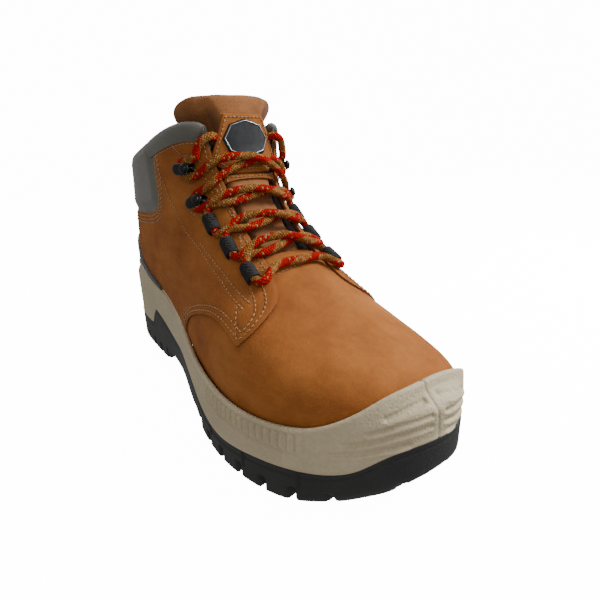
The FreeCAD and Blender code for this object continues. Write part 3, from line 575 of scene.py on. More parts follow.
def grained_material(name, dark, light, scale, depth_mm, roughness, sheen=0.0):
    """A moulded or coated surface with a fine cell grain."""
    shader = Shader(name)
    tone = shader.ramp(shader.noise(38, 5), [(0.3, dark), (0.7, light)])
    cells = shader.add("TexVoronoi", {"Vector": shader.place(), "Scale": scale})
    grain = shader.ramp(cells.outputs["Distance"], [(0.05, grey(0.0)), (0.6, grey(1.0))])
    speck = shader.ramp(shader.noise(scale * 0.6, 4), [(0.32, grey(0.88)), (0.68, grey(1.08))])
    color = shader.mix(0.6, tone, speck, "MULTIPLY")
    wavy = shader.bump(shader.noise(120, 3), 0.25, 0.4)
    shader.feed(shader.main, {"Base Color": color, "Roughness": roughness, "Sheen Weight": sheen,
                              "Normal": shader.bump(grain, depth_mm, 0.9, wavy)})
    return shader.material


collar_grey = grained_material("collar_grey", (0.085, 0.080, 0.062),
                               (0.120, 0.113, 0.090), 1500, 0.10, 0.6, 0.15)
midsole_pu = grained_material("midsole_pu", (0.44, 0.36, 0.225), (0.51, 0.42, 0.27), 1300, 0.06, 0.6)
bumper_pu = grained_material("bumper_pu", (0.46, 0.38, 0.24), (0.54, 0.45, 0.29), 700, 0.16, 0.6)
outsole_rubber = grained_material("outsole_rubber", (0.009, 0.0083, 0.0078),
                                  (0.018, 0.0168, 0.0158), 900, 0.16, 0.62)
black_plastic = grained_material("black_plastic", (0.014, 0.0135, 0.013),
                                 (0.024, 0.023, 0.022), 1100, 0.08, 0.45)
foam = grained_material("foam", (0.55, 0.50, 0.36), (0.66, 0.60, 0.45), 1700, 0.3, 0.9)
board = grained_material("board", (0.30, 0.24, 0.16), (0.40, 0.33, 0.22), 900, 0.12, 0.9)
tape_cloth = grained_material("tape_cloth", (0.10, 0.095, 0.085), (0.15, 0.14, 0.125), 1200, 0.12, 0.9)


def metal_material(name, color, roughness, metallic=1.0):
    shader = Shader(name)
    rub = shader.ramp(shader.noise(500, 5, 0.6),
                      [(0.35, grey(roughness * 0.75)), (0.7, grey(roughness * 1.4))])
    worn = shader.ramp(shader.noise(140, 6, 0.7),
                       [(0.4, color), (0.75, tuple(min(1, c * 1.35) for c in color))])
    shader.feed(shader.main, {"Base Color": worn, "Metallic": metallic, "Roughness": rub,
                              "Normal": shader.bump(shader.noise(900, 3), 0.03, 0.5),
                              "Specular IOR Level": 0.35})
    return shader.material


black_metal = metal_material("black_metal", (0.002, 0.002, 0.002), 0.34, 0.0)
steel = metal_material("steel", (0.42, 0.43, 0.44), 0.35)
badge_face = metal_material("badge_face", (0.016, 0.017, 0.019), 0.42, 0.2)


def woven_material(name, dark, light, scale, depth_mm, sheen=0.3):
    """A knitted or woven cloth in two sets of threads."""
    shader = Shader(name)
    place = shader.place()
    weft = shader.add("TexWave", {"Vector": place, "Scale": scale, "Distortion": 0.6, "Detail Scale": 3.0},
                      bands_direction="Z")
    warp = shader.add("TexWave", {"Vector": place, "Scale": scale, "Distortion": 0.6, "Detail Scale": 3.0},
                      bands_direction="Y")
    threads = shader.math("MAXIMUM", weft.outputs["Fac"], warp.outputs["Fac"])
    tone = shader.ramp(threads, [(0.1, dark), (0.9, light)])
    patches = shader.ramp(shader.noise(60, 4), [(0.3, grey(0.8)), (0.7, grey(1.15))])
    color = shader.mix(0.5, tone, patches, "MULTIPLY")
    shader.feed(shader.main, {"Base Color": color, "Roughness": 0.92, "Sheen Weight": sheen,
                              "Normal": shader.bump(threads, depth_mm)})
    return shader.material


lining_cloth = woven_material("lining_cloth", (0.055, 0.052, 0.046), (0.15, 0.145, 0.13), 420, 0.25)
webbing = woven_material("webbing", (0.003, 0.003, 0.003), (0.016, 0.0155, 0.015), 300, 0.35, 0.0)


def thread_material(name, color):
    shader = Shader(name)
    ply = shader.add("TexWave", {"Vector": shader.place(), "Scale": 900, "Distortion": 2.0})
    tone = shader.ramp(ply.outputs["Fac"], [(0.0, tuple(c * 0.72 for c in color)), (0.8, color)])
    shader.feed(shader.main, {"Base Color": tone, "Roughness": 0.6, "Sheen Weight": 0.2,
                              "Normal": shader.bump(ply.outputs["Fac"], 0.08)})
    return shader.material


thread = thread_material("thread", (0.46, 0.235, 0.100))


def lace_material():
    """A round braid: tan yarn with red yarns that surface in blocks, and pale flecks, with painted shade in
    the grooves between the strands.
    """
    shader = Shader("lace_braid")
    along = shader.add("Attribute", attribute_name="along").outputs["Fac"]
    around = shader.add("Attribute", attribute_name="around").outputs["Fac"]
    pitch, strands = 9.0, 6.0
    turns = shader.math("DIVIDE", along, pitch)
    right = shader.math("MULTIPLY", shader.math("ADD", turns, around), strands)
    left = shader.math("MULTIPLY", shader.math("SUBTRACT", turns, around), strands)

    def strand_height(value):
        phase = shader.math("MULTIPLY", value, 2 * math.pi)
        return shader.math("ABSOLUTE", shader.math("SINE", shader.math("MULTIPLY", phase, 0.5)))

    over = shader.math("MULTIPLY", strand_height(right), strand_height(left))
    cell = shader.add("CombineXYZ", {"X": shader.math("FLOOR", right), "Y": shader.math("FLOOR", left)})
    speck = shader.add("TexWhiteNoise", {"Vector": cell}, noise_dimensions="3D").outputs["Value"]
    block = shader.math("FRACT", shader.math("ADD", shader.math("DIVIDE", along, 19.0), around))
    in_block = shader.math("LESS_THAN", block, 0.50)
    red_here = shader.math("MULTIPLY", in_block, shader.math("LESS_THAN", speck, 0.90))
    stray = shader.math("GREATER_THAN", speck, 0.98)
    tan = shader.ramp(speck, [(0.0, (0.27, 0.100, 0.020)), (0.7, (0.40, 0.160, 0.035)),
                              (0.95, (0.50, 0.24, 0.075))])
    color = shader.mix(red_here, tan, rgb((0.47, 0.008, 0.002)))
    color = shader.mix(stray, color, rgb((0.45, 0.27, 0.12)))
    # Painted shade: the colour is darkened, down to 0.35, in the low grooves between the braid's strands.
    painted_groove_shade = shader.ramp(over, [(0.0, grey(0.35)), (0.55, grey(1.0))])
    color = shader.mix(0.9, color, painted_groove_shade, "MULTIPLY")
    yarn = shader.bump(shader.noise(4200, 2), 0.06, 0.6)
    shader.feed(shader.main, {"Base Color": color, "Roughness": 0.85, "Specular IOR Level": 0.1,
                              "Normal": shader.bump(over, 0.55, 1.0, yarn)})
    return shader.material


lace_braid = lace_material()
lace_tip = grained_material("lace_tip", (0.30, 0.13, 0.05), (0.40, 0.19, 0.08), 900, 0.03, 0.25)


# ------------------------------------------------------------------ lace, along the CAD route
HOOKS = {"upper": (11.4, 41), "lower": (9.1, 36.5)}
LOOPS = {"top": (7.85, 36), "middle": (6.7, 32), "bottom": (5.55, 28.5)}
LACE_RADIUS = 2.3
CROSS_LOW, CROSS_HIGH = 3.1, 8.0
ROUND_HOOK = [(-7, 4.6, 4.4), (4.6, 4.8, 4.2), (4.6, -4.8, 4.2), (-7, -4.6, 4.4)]
THROUGH_LOOP = [(-4.5, 11.2, 4.2), (0, 7.4, 3.4), (0, -7.4, 3.4), (-4.5, -11.2, 4.2)]
WAY = [(LATERAL, "upper"), (MEDIAL, "lower"), (LATERAL, "top"), (MEDIAL, "middle"), (LATERAL, "bottom"),
       (MEDIAL, "bottom"), (LATERAL, "middle"), (MEDIAL, "top"), (LATERAL, "lower"), (MEDIAL, "upper")]
CROSSINGS = [(10.3, CROSS_HIGH), (8.4, CROSS_LOW), (7.15, CROSS_HIGH), (6.15, CROSS_LOW), (5.3, 3.4),
             (6.15, CROSS_HIGH), (7.15, CROSS_LOW), (8.4, CROSS_HIGH), (10.3, CROSS_LOW)]
LACE_END = [(9.2, 85, -9.2), (10.0, 82, -9.2), (11.0, 80, -9.2), (11.9, 73, -9.2), (12.5, 62, -9.0),
            (12.9, 50, -8.9), (13.1, 39, -8.8), (13.3, 29, -8.6), (13.6, 20.5, -6.4), (13.7, 17.8, -2.0),
            (13.6, 20.5, 2.8), (13.3, 27, 4.4), (12.6, 33, 4.4)]


def unit(vector):
    return vector / np.linalg.norm(vector)


def surface_frame(which, at_station, at_angle):
    """A place on the leather: its point, then out from the throat, up the facing and off it."""
    here = form(at_station, which, at_angle)
    up = unit(form(at_station + .1, which, at_angle) - form(at_station - .1, which, at_angle))
    out = form(at_station, which, at_angle + 1) - form(at_station, which, at_angle - 1)
    normal = unit(np.cross(out, up) * which)
    return here, np.cross(up, normal) * which, up, normal


def at_frame(place, outwards, upwards, off):
    here, out, up, normal = place
    return here + out * outwards + up * upwards + normal * off


frames = {(which, row): surface_frame(which, *spot) for which in (LATERAL, MEDIAL)
          for row, spot in {**HOOKS, **LOOPS}.items()}


def beside_middle(row, which, at_station, height):
    """Halfway from a crossing to a hook or loop, resting on the facing or on the strand below."""
    row_station, row_angle = {**HOOKS, **LOOPS}[row]
    rest = 4.7 if height > 5 else 3.4
    return form(at_station + 0.45 * (row_station - at_station), which, row_angle / 2, rest)


def lace_route():
    def end(which):
        return [form(s, which, a, height) for s, a, height in LACE_END]

    points = end(LATERAL)
    for place, (which, row) in enumerate(WAY):
        offsets = ROUND_HOOK if row in HOOKS else THROUGH_LOOP
        turn = [at_frame(frames[which, row], *offset) for offset in offsets]
        points += turn[::-1] if place >= 5 else turn
        if place < len(CROSSINGS):
            at_station, height = CROSSINGS[place]
            next_side, next_row = WAY[place + 1]
            points += [beside_middle(row, which, at_station, height), form(at_station, MEDIAL, 0, height),
                       beside_middle(next_row, next_side, at_station, height)]
    return points + end(MEDIAL)[::-1]


def spline_line(name, points, resolution=14):
    """Points along the NURBS spline that has these control points, mm."""
    curve = bpy.data.curves.new(name, "CURVE")
    curve.dimensions = "3D"
    curve.resolution_u = resolution
    spline = curve.splines.new("NURBS")
    spline.points.add(len(points) - 1)
    for point, spot in zip(spline.points, points):
        point.co = (*(np.asarray(spot) * MM), 1)
    spline.order_u = 3
    spline.use_endpoint_u = True
    holder = bpy.data.objects.new(name, curve)
    bpy.context.scene.collection.objects.link(holder)
    mesh = bpy.data.meshes.new_from_object(holder)
    line = np.array([v.co[:] for v in mesh.vertices]) / MM
    bpy.data.objects.remove(holder)
    bpy.data.meshes.remove(mesh)
    return line


def tube(name, line, radius, material, around=14):
    """A round tube along a line, with the length along it (mm) and round it (0 to 1) as attributes."""
    tangents = np.gradient(line, axis=0)
    tangents /= np.linalg.norm(tangents, axis=1, keepdims=True)
    run = np.concatenate([[0], np.cumsum(np.linalg.norm(np.diff(line, axis=0), axis=1))])
    normal = unit(np.cross(tangents[0], (0.3, 0.2, 1.0)))
    vertices, along = [], []
    turns = np.linspace(0, 2 * math.pi, around + 1)
    radii = np.broadcast_to(radius, len(line))
    for point, tangent, length, fat in zip(line, tangents, run, radii):
        normal = unit(normal - tangent * (normal @ tangent))
        other = np.cross(tangent, normal)
        vertices += [point + fat * (normal * math.cos(t) + other * math.sin(t)) for t in turns]
        along += [length] * (around + 1)
    columns = around + 1
    faces = [(r * columns + c, r * columns + c + 1, (r + 1) * columns + c + 1, (r + 1) * columns + c)
             for r in range(len(line) - 1) for c in range(around)]
    faces += [tuple(range(around))[::-1], tuple((len(line) - 1) * columns + c for c in range(around))]
    return make_object(name, np.array(vertices), faces, [material], attributes={
        "along": along, "around": np.tile(np.linspace(0, 1, columns), len(line))})


route = lace_route()
lace_line = spline_line("lace_line", route)
lace = tube("lace_cord", lace_line, LACE_RADIUS, lace_braid)
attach(lace, "boot")
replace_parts(lace, "lace")


def lace_tip_ends():
    """The plastic tips at both ends, a little slimmer than the lace."""
    parts = []
    for last, inner in ((route[0], route[1]), (route[-1], route[-2])):
        away = unit(last - inner)
        parts.append(last + away * np.linspace(-1.5, 10.2, 9)[:, None])
    return parts


tips = []
for index, line in enumerate(lace_tip_ends()):
    tip = tube("lace_tip_%d" % (index + 1), line,
               np.array([2.0, 2.15, 2.1, 2.05, 2.0, 2.0, 1.95, 1.7, 1.0]), lace_tip)
    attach(tip, "boot")
    tips.append(tip)
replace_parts(tips[0], "lace_tips")

# ------------------------------------------------------------------ leather panels
vamp_tab = np.minimum(8 - facing_gap, THROAT_Y + 0.6 - flat[:, 1] + 0.10 * flat[:, 0])
vamp_keep = np.minimum(np.maximum(8 - behind_edge, vamp_tab), above_sole)
level_top = line_at(TOP_LINE, flat[:, 1]) - flat[:, 2]
quarter_keep = np.minimum.reduce([smooth_min(smooth_min(behind_edge, facing_gap, 3.0), under_top - BAND, 6.0),
                                  above_sole, np.where(in_collar > -40, -in_collar, 40)])
LOOP_LINE = [(-66.3, 76.9), (-51.8, 81.5), (-24.5, 91.8), (6.9, 105.4), (27.4, 124.8), (36.5, 139.6),
             (37.3, 151.6)]
loop_line, loop_line_inside = signed_line(side_view, LOOP_LINE)
tack, tack_inside = signed_line(side_view, [(-72.8, 66.5), (-60.2, 78.9)])
not_low = above_sole - 9
hook_gap = np.full(len(flat), 99.0)
for (which, row), place in frames.items():
    if row in HOOKS:
        away = flat - at_frame(place, 1.5, 0, 0)
        oval = np.hypot((away @ place[1]) / 1.25, away @ place[2])
        hook_gap = np.where(np.linalg.norm(away, axis=1) < 14, np.minimum(hook_gap, oval), hook_gap)

quarter_rows = [
    (behind_edge - 2.2, np.minimum(not_low, quarter_keep)),
    (behind_edge - 4.7, np.minimum(not_low, quarter_keep)),
    (behind_edge - 7.2, np.minimum.reduce([not_low, quarter_keep, 66 - flat[:, 2]])),
    (facing_gap - 2.6, np.minimum.reduce([quarter_keep, behind_edge - 2.2, level_top - 9])),
    (loop_line, np.minimum(quarter_keep, loop_line_inside)),
    (loop_line - 2.6, np.minimum.reduce([quarter_keep, loop_line_inside, -8 - flat[:, 1]])),
    (tack, np.minimum(quarter_keep, tack_inside)),
    (-in_collar - 2.2, np.minimum(quarter_keep, level_top - 7)),
    (-in_collar - 4.6, np.minimum(quarter_keep, level_top - 7)),
    (-in_collar - 7.0, np.minimum(quarter_keep, level_top - 7)),
    (level_top - 8.0, np.minimum.reduce([quarter_keep, facing_gap - 2.4, -in_collar - 1.5])),
    (level_top - 10.4, np.minimum.reduce([quarter_keep, facing_gap - 2.4, -in_collar - 1.5])),
    (hook_gap - 7.4, quarter_keep),
]
vamp_edge = THROAT_Y + 0.6 - flat[:, 1] + 0.10 * flat[:, 0]
vamp_rows = [(vamp_edge - 2.6, np.minimum(-facing_gap - 0.5, flat[:, 2] - 60)),
             (vamp_edge - 5.0, np.minimum(-facing_gap - 0.5, flat[:, 2] - 60))]


def sunk(height, rows, depth=0.32, width=0.75):
    """A height field pulled down along rows of stitches."""
    for values, mask in rows:
        height = height - depth * np.exp(-(values / width)**2) * smooth_step(-1.0, 1.0, mask)
    return height


lump_phase = rng.uniform(0, 6.28, 6)


def soft_lumps(points, size_mm, height):
    """A gentle unevenness, the same on every run."""
    total = np.zeros(len(points))
    for k, (a, b, c) in enumerate(((1, .3, .6), (-.5, 1, .4), (.2, -.7, 1), (.8, .8, -.5))):
        wave = size_mm * (1 + .23 * k)
        total += np.sin((points @ np.array([a, b, c])) * 2 * math.pi / wave + lump_phase[k])
    return height * total / 4


QUARTER_HEIGHT, VAMP_HEIGHT = 0.95, -0.55
lumps = soft_lumps(flat, 46, 0.5) + soft_lumps(flat, 15, 0.12)
turned_edge = 0.5 * np.exp(-np.clip(quarter_keep, 0, None) / 0.6)
quarter_height = sunk(QUARTER_HEIGHT + lumps - turned_edge, quarter_rows)
step_down = 1.2 * smooth_step(1.0, -4.0, -behind_edge) * smooth_step(-1.0, 2.0, facing_gap)
vamp_height = sunk(VAMP_HEIGHT + lumps - step_down, vamp_rows)


def leather_panel(name, height, keep, half, thickness=1.7):
    """One leather panel from the net, with its raw cut edge."""
    data, triangles = upper_patch(height, np.minimum(keep, half))
    piece = thick_piece(name, data[:, :3], triangles, thickness, [nubuck, nubuck_edge])
    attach(piece, "boot")
    return piece


everywhere = np.full(len(flat), 99.0)
vamp = leather_panel("vamp_leather", vamp_height, vamp_keep, everywhere)
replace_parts(vamp, "vamp")
SEAM_HALF = 0.05
for which, label in ((LATERAL, "lateral"), (MEDIAL, "medial")):
    half = np.where(flat[:, 1] < 60, which * flat[:, 0] + 3, which * flat[:, 0] - SEAM_HALF)
    panel = leather_panel("quarter_leather_" + label, quarter_height, quarter_keep, half)
    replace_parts(panel, "quarter_" + label)


def net_rows(height, rows):
    """The rows of stitches as lines on the net at a height."""
    points = form(station, side, angle, np.reshape(height, net_shape)).reshape(-1, 3)
    normals = normals_of(points, net_faces)
    found = []
    for values, mask in rows:
        found += contours(points, normals, net_faces, values, mask)
    return [(line, normal) for line, normal in found if len(line) > 6]


sew("quarter_stitches", net_rows(quarter_height, quarter_rows), thread)
sew("vamp_stitches", net_rows(vamp_height, vamp_rows), thread)

# ------------------------------------------------------------------ collar
in_band = np.minimum(BAND + 6 - under_top, facing_gap - 0.3)
collar_keep = np.minimum.reduce([np.maximum(in_collar + 6, in_band), under_top, above_sole])
collar_puff = 0.2 + 2.0 * smooth_step(0, 9, in_collar) * smooth_step(-1, 5, level_top)
collar_height = collar_puff + 0.6 * lumps
data, triangles = upper_patch(collar_height, collar_keep)
collar = thick_piece("collar_panel", data[:, :3], triangles, 1.0, [collar_grey, collar_grey])
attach(collar, "boot")
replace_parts(collar, "collar_cover", "collar_foam")


def collar_roll():
    """The padded edge that runs along the top line, from the outside over to the lining."""
    rim_heights = [0.9, 1.7, 1.9, 1.4, 0.2, -1.6, -3.4, -5.0, -6.0, -6.2, -5.8]
    rim_drops = [9.0, 6.2, 3.6, 1.2, -0.8, -1.8, -1.8, -0.7, 1.4, 4.4, 8.0]
    lasted = form(station, side, angle).reshape(-1, 3)
    near_collar = np.minimum(facing_gap - 1.0, flat[:, 2] - 120)
    grip = contours(lasted, lasted, net_faces, under_top - 0.2, near_collar)
    line = max((l for l, _ in grip), key=len)
    if line[0, 0] > 0:
        line = line[::-1]
    steps = np.linalg.norm(np.diff(line, axis=0), axis=1)
    run = np.concatenate([[0], np.cumsum(steps)])
    places = np.linspace(0, run[-1], 260)
    line = np.stack([np.interp(places, run, line[:, c]) for c in range(3)], -1)
    for _ in range(12):
        line[1:-1] = (line[:-2] + 2 * line[1:-1] + line[2:]) / 4
    tangent = np.gradient(line, axis=0)
    tangent /= np.linalg.norm(tangent, axis=1, keepdims=True)
    tree = BVHTree.FromPolygons(flat.tolist(), net_faces.tolist())
    outward = np.array([tree.find_nearest(Vector(p))[1][:] for p in line])
    centre = np.array([0, 70, 0])
    facing = np.sign(((line - centre)[:, :2] * outward[:, :2]).sum(1, keepdims=True))
    outward *= facing
    outward[:, 2] *= 0.3
    outward -= tangent * (outward * tangent).sum(1, keepdims=True)
    outward /= np.linalg.norm(outward, axis=1, keepdims=True)
    for _ in range(8):
        outward[1:-1] = outward[:-2] + 2 * outward[1:-1] + outward[2:]
        outward /= np.linalg.norm(outward, axis=1, keepdims=True)
    up = np.cross(outward, tangent)
    up *= np.sign(up[:, 2:])
    section = spline_through(list(zip(rim_heights, rim_drops)))(np.linspace(0, 10, 31))
    taper = np.minimum(1, np.minimum(np.arange(260), np.arange(260)[::-1]) / 5 + 0.35)
    rows = np.array([line + outward * (h + 2.2) - outward * 2.2 - up * d * taper[:, None]
                     for h, d in section])
    rows = np.swapaxes(rows, 0, 1)
    faces = [(r * 31 + c, r * 31 + c + 1, (r + 1) * 31 + c + 1, (r + 1) * 31 + c)
             for r in range(259) for c in range(30)]
    for end in (0, 259):
        faces.append(tuple(end * 31 + c for c in range(31)))
    return make_object("collar_roll", rows.reshape(-1, 3), faces, [collar_grey])


roll = collar_roll()
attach(roll, "boot")

# ------------------------------------------------------------------ tongue
TONGUE_ROWS = [
    (5.85, 8, 14, 20, 7.4, 8.6, 12.4),
    (6.3, 11, 18, 30, 4.2, 8.6, 13.0),
    (7.2, 11, 20, 38, 2.8, 8.6, 13.5),
    (8.6, 12, 21, 44, 2.4, 8.6, 14.0),
    (10.5, 13, 22, 48, 2.4, 9.2, 15.0),
    (12.3, 13, 21, 50, 2.0, 11.8, 17.5),
    (13.8, 11, 18.5, 51, 2.0, 12.2, 18.0),
    (15.2, 11, 18.5, 54, 2.0, 11.0, 17.0),
    (16.2, 12, 24, 56, 2.2, 7.2, 13.5),
    (16.75, 12, 26, 44, 3.2, 6.5, 11.5),
    (16.95, 8, 18, 31, 5.5, 7.0, 10.8)]
tongue_row_at = spline_through(TONGUE_ROWS)
TONGUE_ACROSS = 61
TONGUE_RISE, TONGUE_FLARE = 2.5, 0.17
LACE_ROWS = np.array([5.3, 6.15, 7.15, 8.4, 10.3])


def tongue_face(rows, across, inner=False, lift=0.0):
    """Points on the tongue's outer or inner face: rows is 0 to 10 up it, across is -1 to 1."""
    row = np.moveaxis(tongue_row_at(rows), -1, 0)
    at_station, crown, flank, edge, crown_depth, flank_depth, inner_depth = row
    which = np.where(across < 0, LATERAL, MEDIAL)
    at_angle = edge * np.abs(across)
    slope = smooth_step(0, 1, (at_angle - crown) / (flank - crown))
    depth = crown_depth + (flank_depth - crown_depth) * slope
    if inner:
        depth = inner_depth + 0 * across
    return form(at_station, which, at_angle, -depth + lift), at_station, at_angle


def tongue_pads(at_station, at_angle):
    """The padding stands up between the rows of lace and is pulled in under them."""
    gap = np.min(np.abs(at_station[..., None] - LACE_ROWS) / np.array([.35, .4, .5, .75, 1.0]), -1)
    pads = 1.5 * smooth_step(0.0, 1.0, gap) - 0.7
    return pads * smooth_step(26, 8, at_angle) * smooth_step(13.4, 12.4, at_station)


def tongue_mesh():
    rows = np.linspace(0.0, 10, 191)
    across = np.linspace(-1, 1, TONGUE_ACROSS)
    grid_rows, grid_across = np.meshgrid(rows, across, indexing="ij")
    outer, at_station, at_angle = tongue_face(grid_rows, grid_across)
    lift = tongue_pads(at_station, at_angle)
    edge_round = 1.2 * np.exp(-(1 - np.abs(grid_across)) / 0.05) + 1.5 * np.exp(-(10 - grid_rows) / 0.25)
    outer = tongue_face(grid_rows, grid_across, lift=lift - edge_round)[0]
    inner = tongue_face(grid_rows, grid_across, inner=True, lift=edge_round)[0]
    for face in (outer, inner):
        face[..., 2] += TONGUE_RISE * smooth_step(6.5, 10, grid_rows)
        face[..., 0] *= 1 + TONGUE_FLARE * smooth_step(6.8, 9.0, grid_rows)
    ring = np.concatenate([outer, inner[:, ::-1]], 1)
    columns = ring.shape[1]
    faces, slots = [], []
    for r in range(len(rows) - 1):
        for c in range(columns):
            d = (c + 1) % columns
            faces.append((r * columns + c, r * columns + d, (r + 1) * columns + d, (r + 1) * columns + c))
            slots.append(0 if c < TONGUE_ACROSS or c == columns - 1 else 1)
    for r in (0, len(rows) - 1):
        for c in range(TONGUE_ACROSS - 1):
            e = columns - 1 - c
            faces.append((r * columns + c, r * columns + c + 1, r * columns + e - 1, r * columns + e))
            slots.append(0)
    points = ring.reshape(-1, 3)
    normals = normals_of(points, net_triangles(len(rows), columns, True))
    points = points + normals * soft_lumps(points, 17, 0.28)[:, None]
    return make_object("tongue_padded", points, faces, [suede, lining_cloth], slots)


tongue = tongue_mesh()
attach(tongue, "tongue")
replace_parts(tongue, "tongue_cover", "tongue_lining", "tongue_foam")

# ------------------------------------------------------------------ patch and badge on the tongue
PATCH_OUTLINE = [(-13, 138.5), (-21.5, 145.0), (-12.5, 171.5), (12.5, 171.5), (21.5, 145.0), (13, 138.5)]
STRIP_OUTLINE = [(-17, 131.5), (-16.5, 137.5), (16.5, 137.5), (17, 131.5)]
BADGE_OUTLINE = [(0, 145.5), (-11, 149), (-14.2, 157), (-9.5, 165.5), (0, 168.8), (9.5, 165.5), (14.2, 157),
                 (11, 149)]
face_stations, face_angles = np.linspace(9.4, 17, 340), np.linspace(-30, 30, 124)
face_station, face_angle = np.meshgrid(face_stations, face_angles, indexing="ij")
face_side = np.where(face_angle < 0, LATERAL, MEDIAL)
face_base = form(face_station, face_side, np.abs(face_angle), -2.0).reshape(-1, 3)
face_triangles = net_triangles(*face_station.shape, closed=False)


def face_points(height):
    lifted = np.reshape(height, face_station.shape)
    return form(face_station, face_side, np.abs(face_angle), lifted).reshape(-1, 3)


def tongue_plate(name, outline, low, height, rounding, material, body="tongue"):
    inside = polygon_distance(face_base[:, [0, 2]], outline)
    raised = low + height * smooth_step(-0.2, rounding, inside)
    data, triangles = clip(np.column_stack([face_points(raised), inside]), face_triangles, inside)
    piece = thick_piece(name, data[:, :3], triangles, height + 0.6, material)
    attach(piece, body)
    return piece, inside, raised


patch, patch_inside, patch_raised = tongue_plate("tongue_patch_leather", PATCH_OUTLINE, -1.1, 0.9, 0.7,
                                                 [nubuck, nubuck_edge])
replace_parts(patch, "tongue_patch")
badge, _, _ = tongue_plate("tongue_badge_plate", BADGE_OUTLINE, -0.2, 1.0, 1.0, [badge_face, badge_face])
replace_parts(badge, "tongue_badge")


def face_rows(rows, height):
    points = face_points(height)
    normals = normals_of(points, face_triangles)
    found = []
    for values, mask in rows:
        found += contours(points, normals, face_triangles, values, mask)
    return found


sew("patch_stitches", face_rows([(patch_inside - 2.0, patch_inside)], patch_raised), thread, "tongue",
    pitch=2.5, length=1.9)
strip, strip_inside, strip_raised = tongue_plate("tongue_strip_leather", STRIP_OUTLINE, -1.1, 1.0, 0.7,
                                                 [nubuck, nubuck_edge])
sew("strip_stitches", face_rows([(strip_inside - 1.7, strip_inside)], strip_raised), thread, "tongue",
    pitch=2.5, length=1.9)


def rim_ring(name, outline, inset, height, radius, material):
    inside = polygon_distance(face_base[:, [0, 2]], outline)
    points = face_points(np.full(len(face_base), height))
    normals = normals_of(points, face_triangles)
    found = contours(points, normals, face_triangles, inside - inset, inside)
    line = max(found, key=lambda pair: len(pair[0]))[0]
    line = np.concatenate([line, line[:2]])
    piece = tube(name, line[::2], radius, material, around=8)
    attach(piece, "tongue")
    return piece


rim_ring("badge_rim", BADGE_OUTLINE, 1.3, 0.85, 0.28, steel)


# ------------------------------------------------------------------ hooks, rivets and loops
def place_points(points, place):
    """Local points (out from the throat, up the facing, off the leather) put on the boot."""
    here, out, up, normal = place
    points = np.asarray(points, float)
    return here + points[:, :1] * out + points[:, 1:2] * up + points[:, 2:] * normal


def capsule_outline(start, end, half, count=14):
    turns = np.linspace(-math.pi / 2, math.pi / 2, count)
    right = [(end + half * math.cos(t), half * math.sin(t)) for t in turns]
    left = [(start - half * math.cos(t), -half * math.sin(t)) for t in turns]
    return np.array(right + left)


def stacked(rings):
    """A closed solid through rings of equal count."""
    count = len(rings[0])
    vertices = np.concatenate(rings)
    faces = [(r * count + c, r * count + (c + 1) % count,
              (r + 1) * count + (c + 1) % count, (r + 1) * count + c)
             for r in range(len(rings) - 1) for c in range(count)]
    faces += [tuple(range(count))[::-1], tuple((len(rings) - 1) * count + c for c in range(count))]
    return vertices, faces


def joined(name, parts, place, material, which):
    vertices, faces = [], []
    for part_vertices, part_faces in parts:
        faces += [tuple(v + len(vertices) for v in (face if which > 0 else face[::-1]))
                  for face in part_faces]
        vertices += list(part_vertices)
    piece = make_object(name, place_points(vertices, place), faces, [material])
    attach(piece, "boot")
    return piece


def hook_parts():
    def ring(outline, level):
        return np.column_stack([outline, np.full(len(outline), level)])

    def disc(radius, level):
        turns = np.linspace(0, 2 * math.pi, 28, endpoint=False)
        return np.column_stack([radius * np.cos(turns), radius * np.sin(turns), np.full(28, level)])

    lip = [ring(capsule_outline(-0.6, 4.6, h), z) for h, z in
           ((2.0, 6.7), (2.8, 6.8), (3.2, 7.1), (3.25, 7.4), (3.0, 7.75), (2.4, 7.95), (1.0, 8.05))]
    foot = [disc(r, z) for r, z in ((3.9, 0.0), (4.0, 0.5), (3.8, 0.95), (3.2, 1.2), (2.3, 1.35),
                                    (1.9, 2.2), (1.8, 5.0), (2.0, 6.4), (2.6, 7.1))]
    return [stacked(lip), stacked(foot)]


def dome_parts():
    turns = np.linspace(0, 2 * math.pi, 28, endpoint=False)
    profile = [(2.5, 7.8), (2.6, 8.0), (2.5, 8.4), (2.1, 8.8), (1.5, 9.1), (0.8, 9.25), (0.2, 9.3)]
    rings = [np.column_stack([r * np.cos(turns), r * np.sin(turns), np.full(28, z)]) for r, z in profile]
    return [stacked(rings)]


def loop_parts():
    """A short ribbed loop of folded webbing, open along the facing."""
    inside, wall, length = 2.75, 1.1, 11.0
    outer = inside + wall
    arch = [(-inside - wall, 0.0)] + [(-outer * math.cos(t), 2.9 + outer * math.sin(t) * 0.98)
                                      for t in np.linspace(0, math.pi, 17)] + [(outer, 0.0)]
    bore = [(inside, 0.3)] + [(inside * math.cos(t), 2.9 + inside * math.sin(t))
                              for t in np.linspace(0, math.pi, 17)] + [(-inside, 0.3)]
    outline = np.array(arch + bore)
    rings = []
    for k in range(49):
        share = k / 48
        rib = 0.20 * math.sin(share * 2 * math.pi * 9.5)
        end = 0.35 * (1 - min(1, min(share, 1 - share) / 0.06))
        grow = np.ones(len(outline)) * (1 + (rib - end) / (inside + wall))
        grow[len(arch):] = 1 - (-end) / (inside + wall) * 0.3
        centre = np.array([0, 2.2])
        section = centre + (outline - centre) * grow[:, None]
        section[:, 1] = np.maximum(section[:, 1], 0)
        level = np.full(len(outline), (share - .5) * length)
        rings.append(np.column_stack([section[:, 0], level, section[:, 1]]))
    return [stacked(rings)]


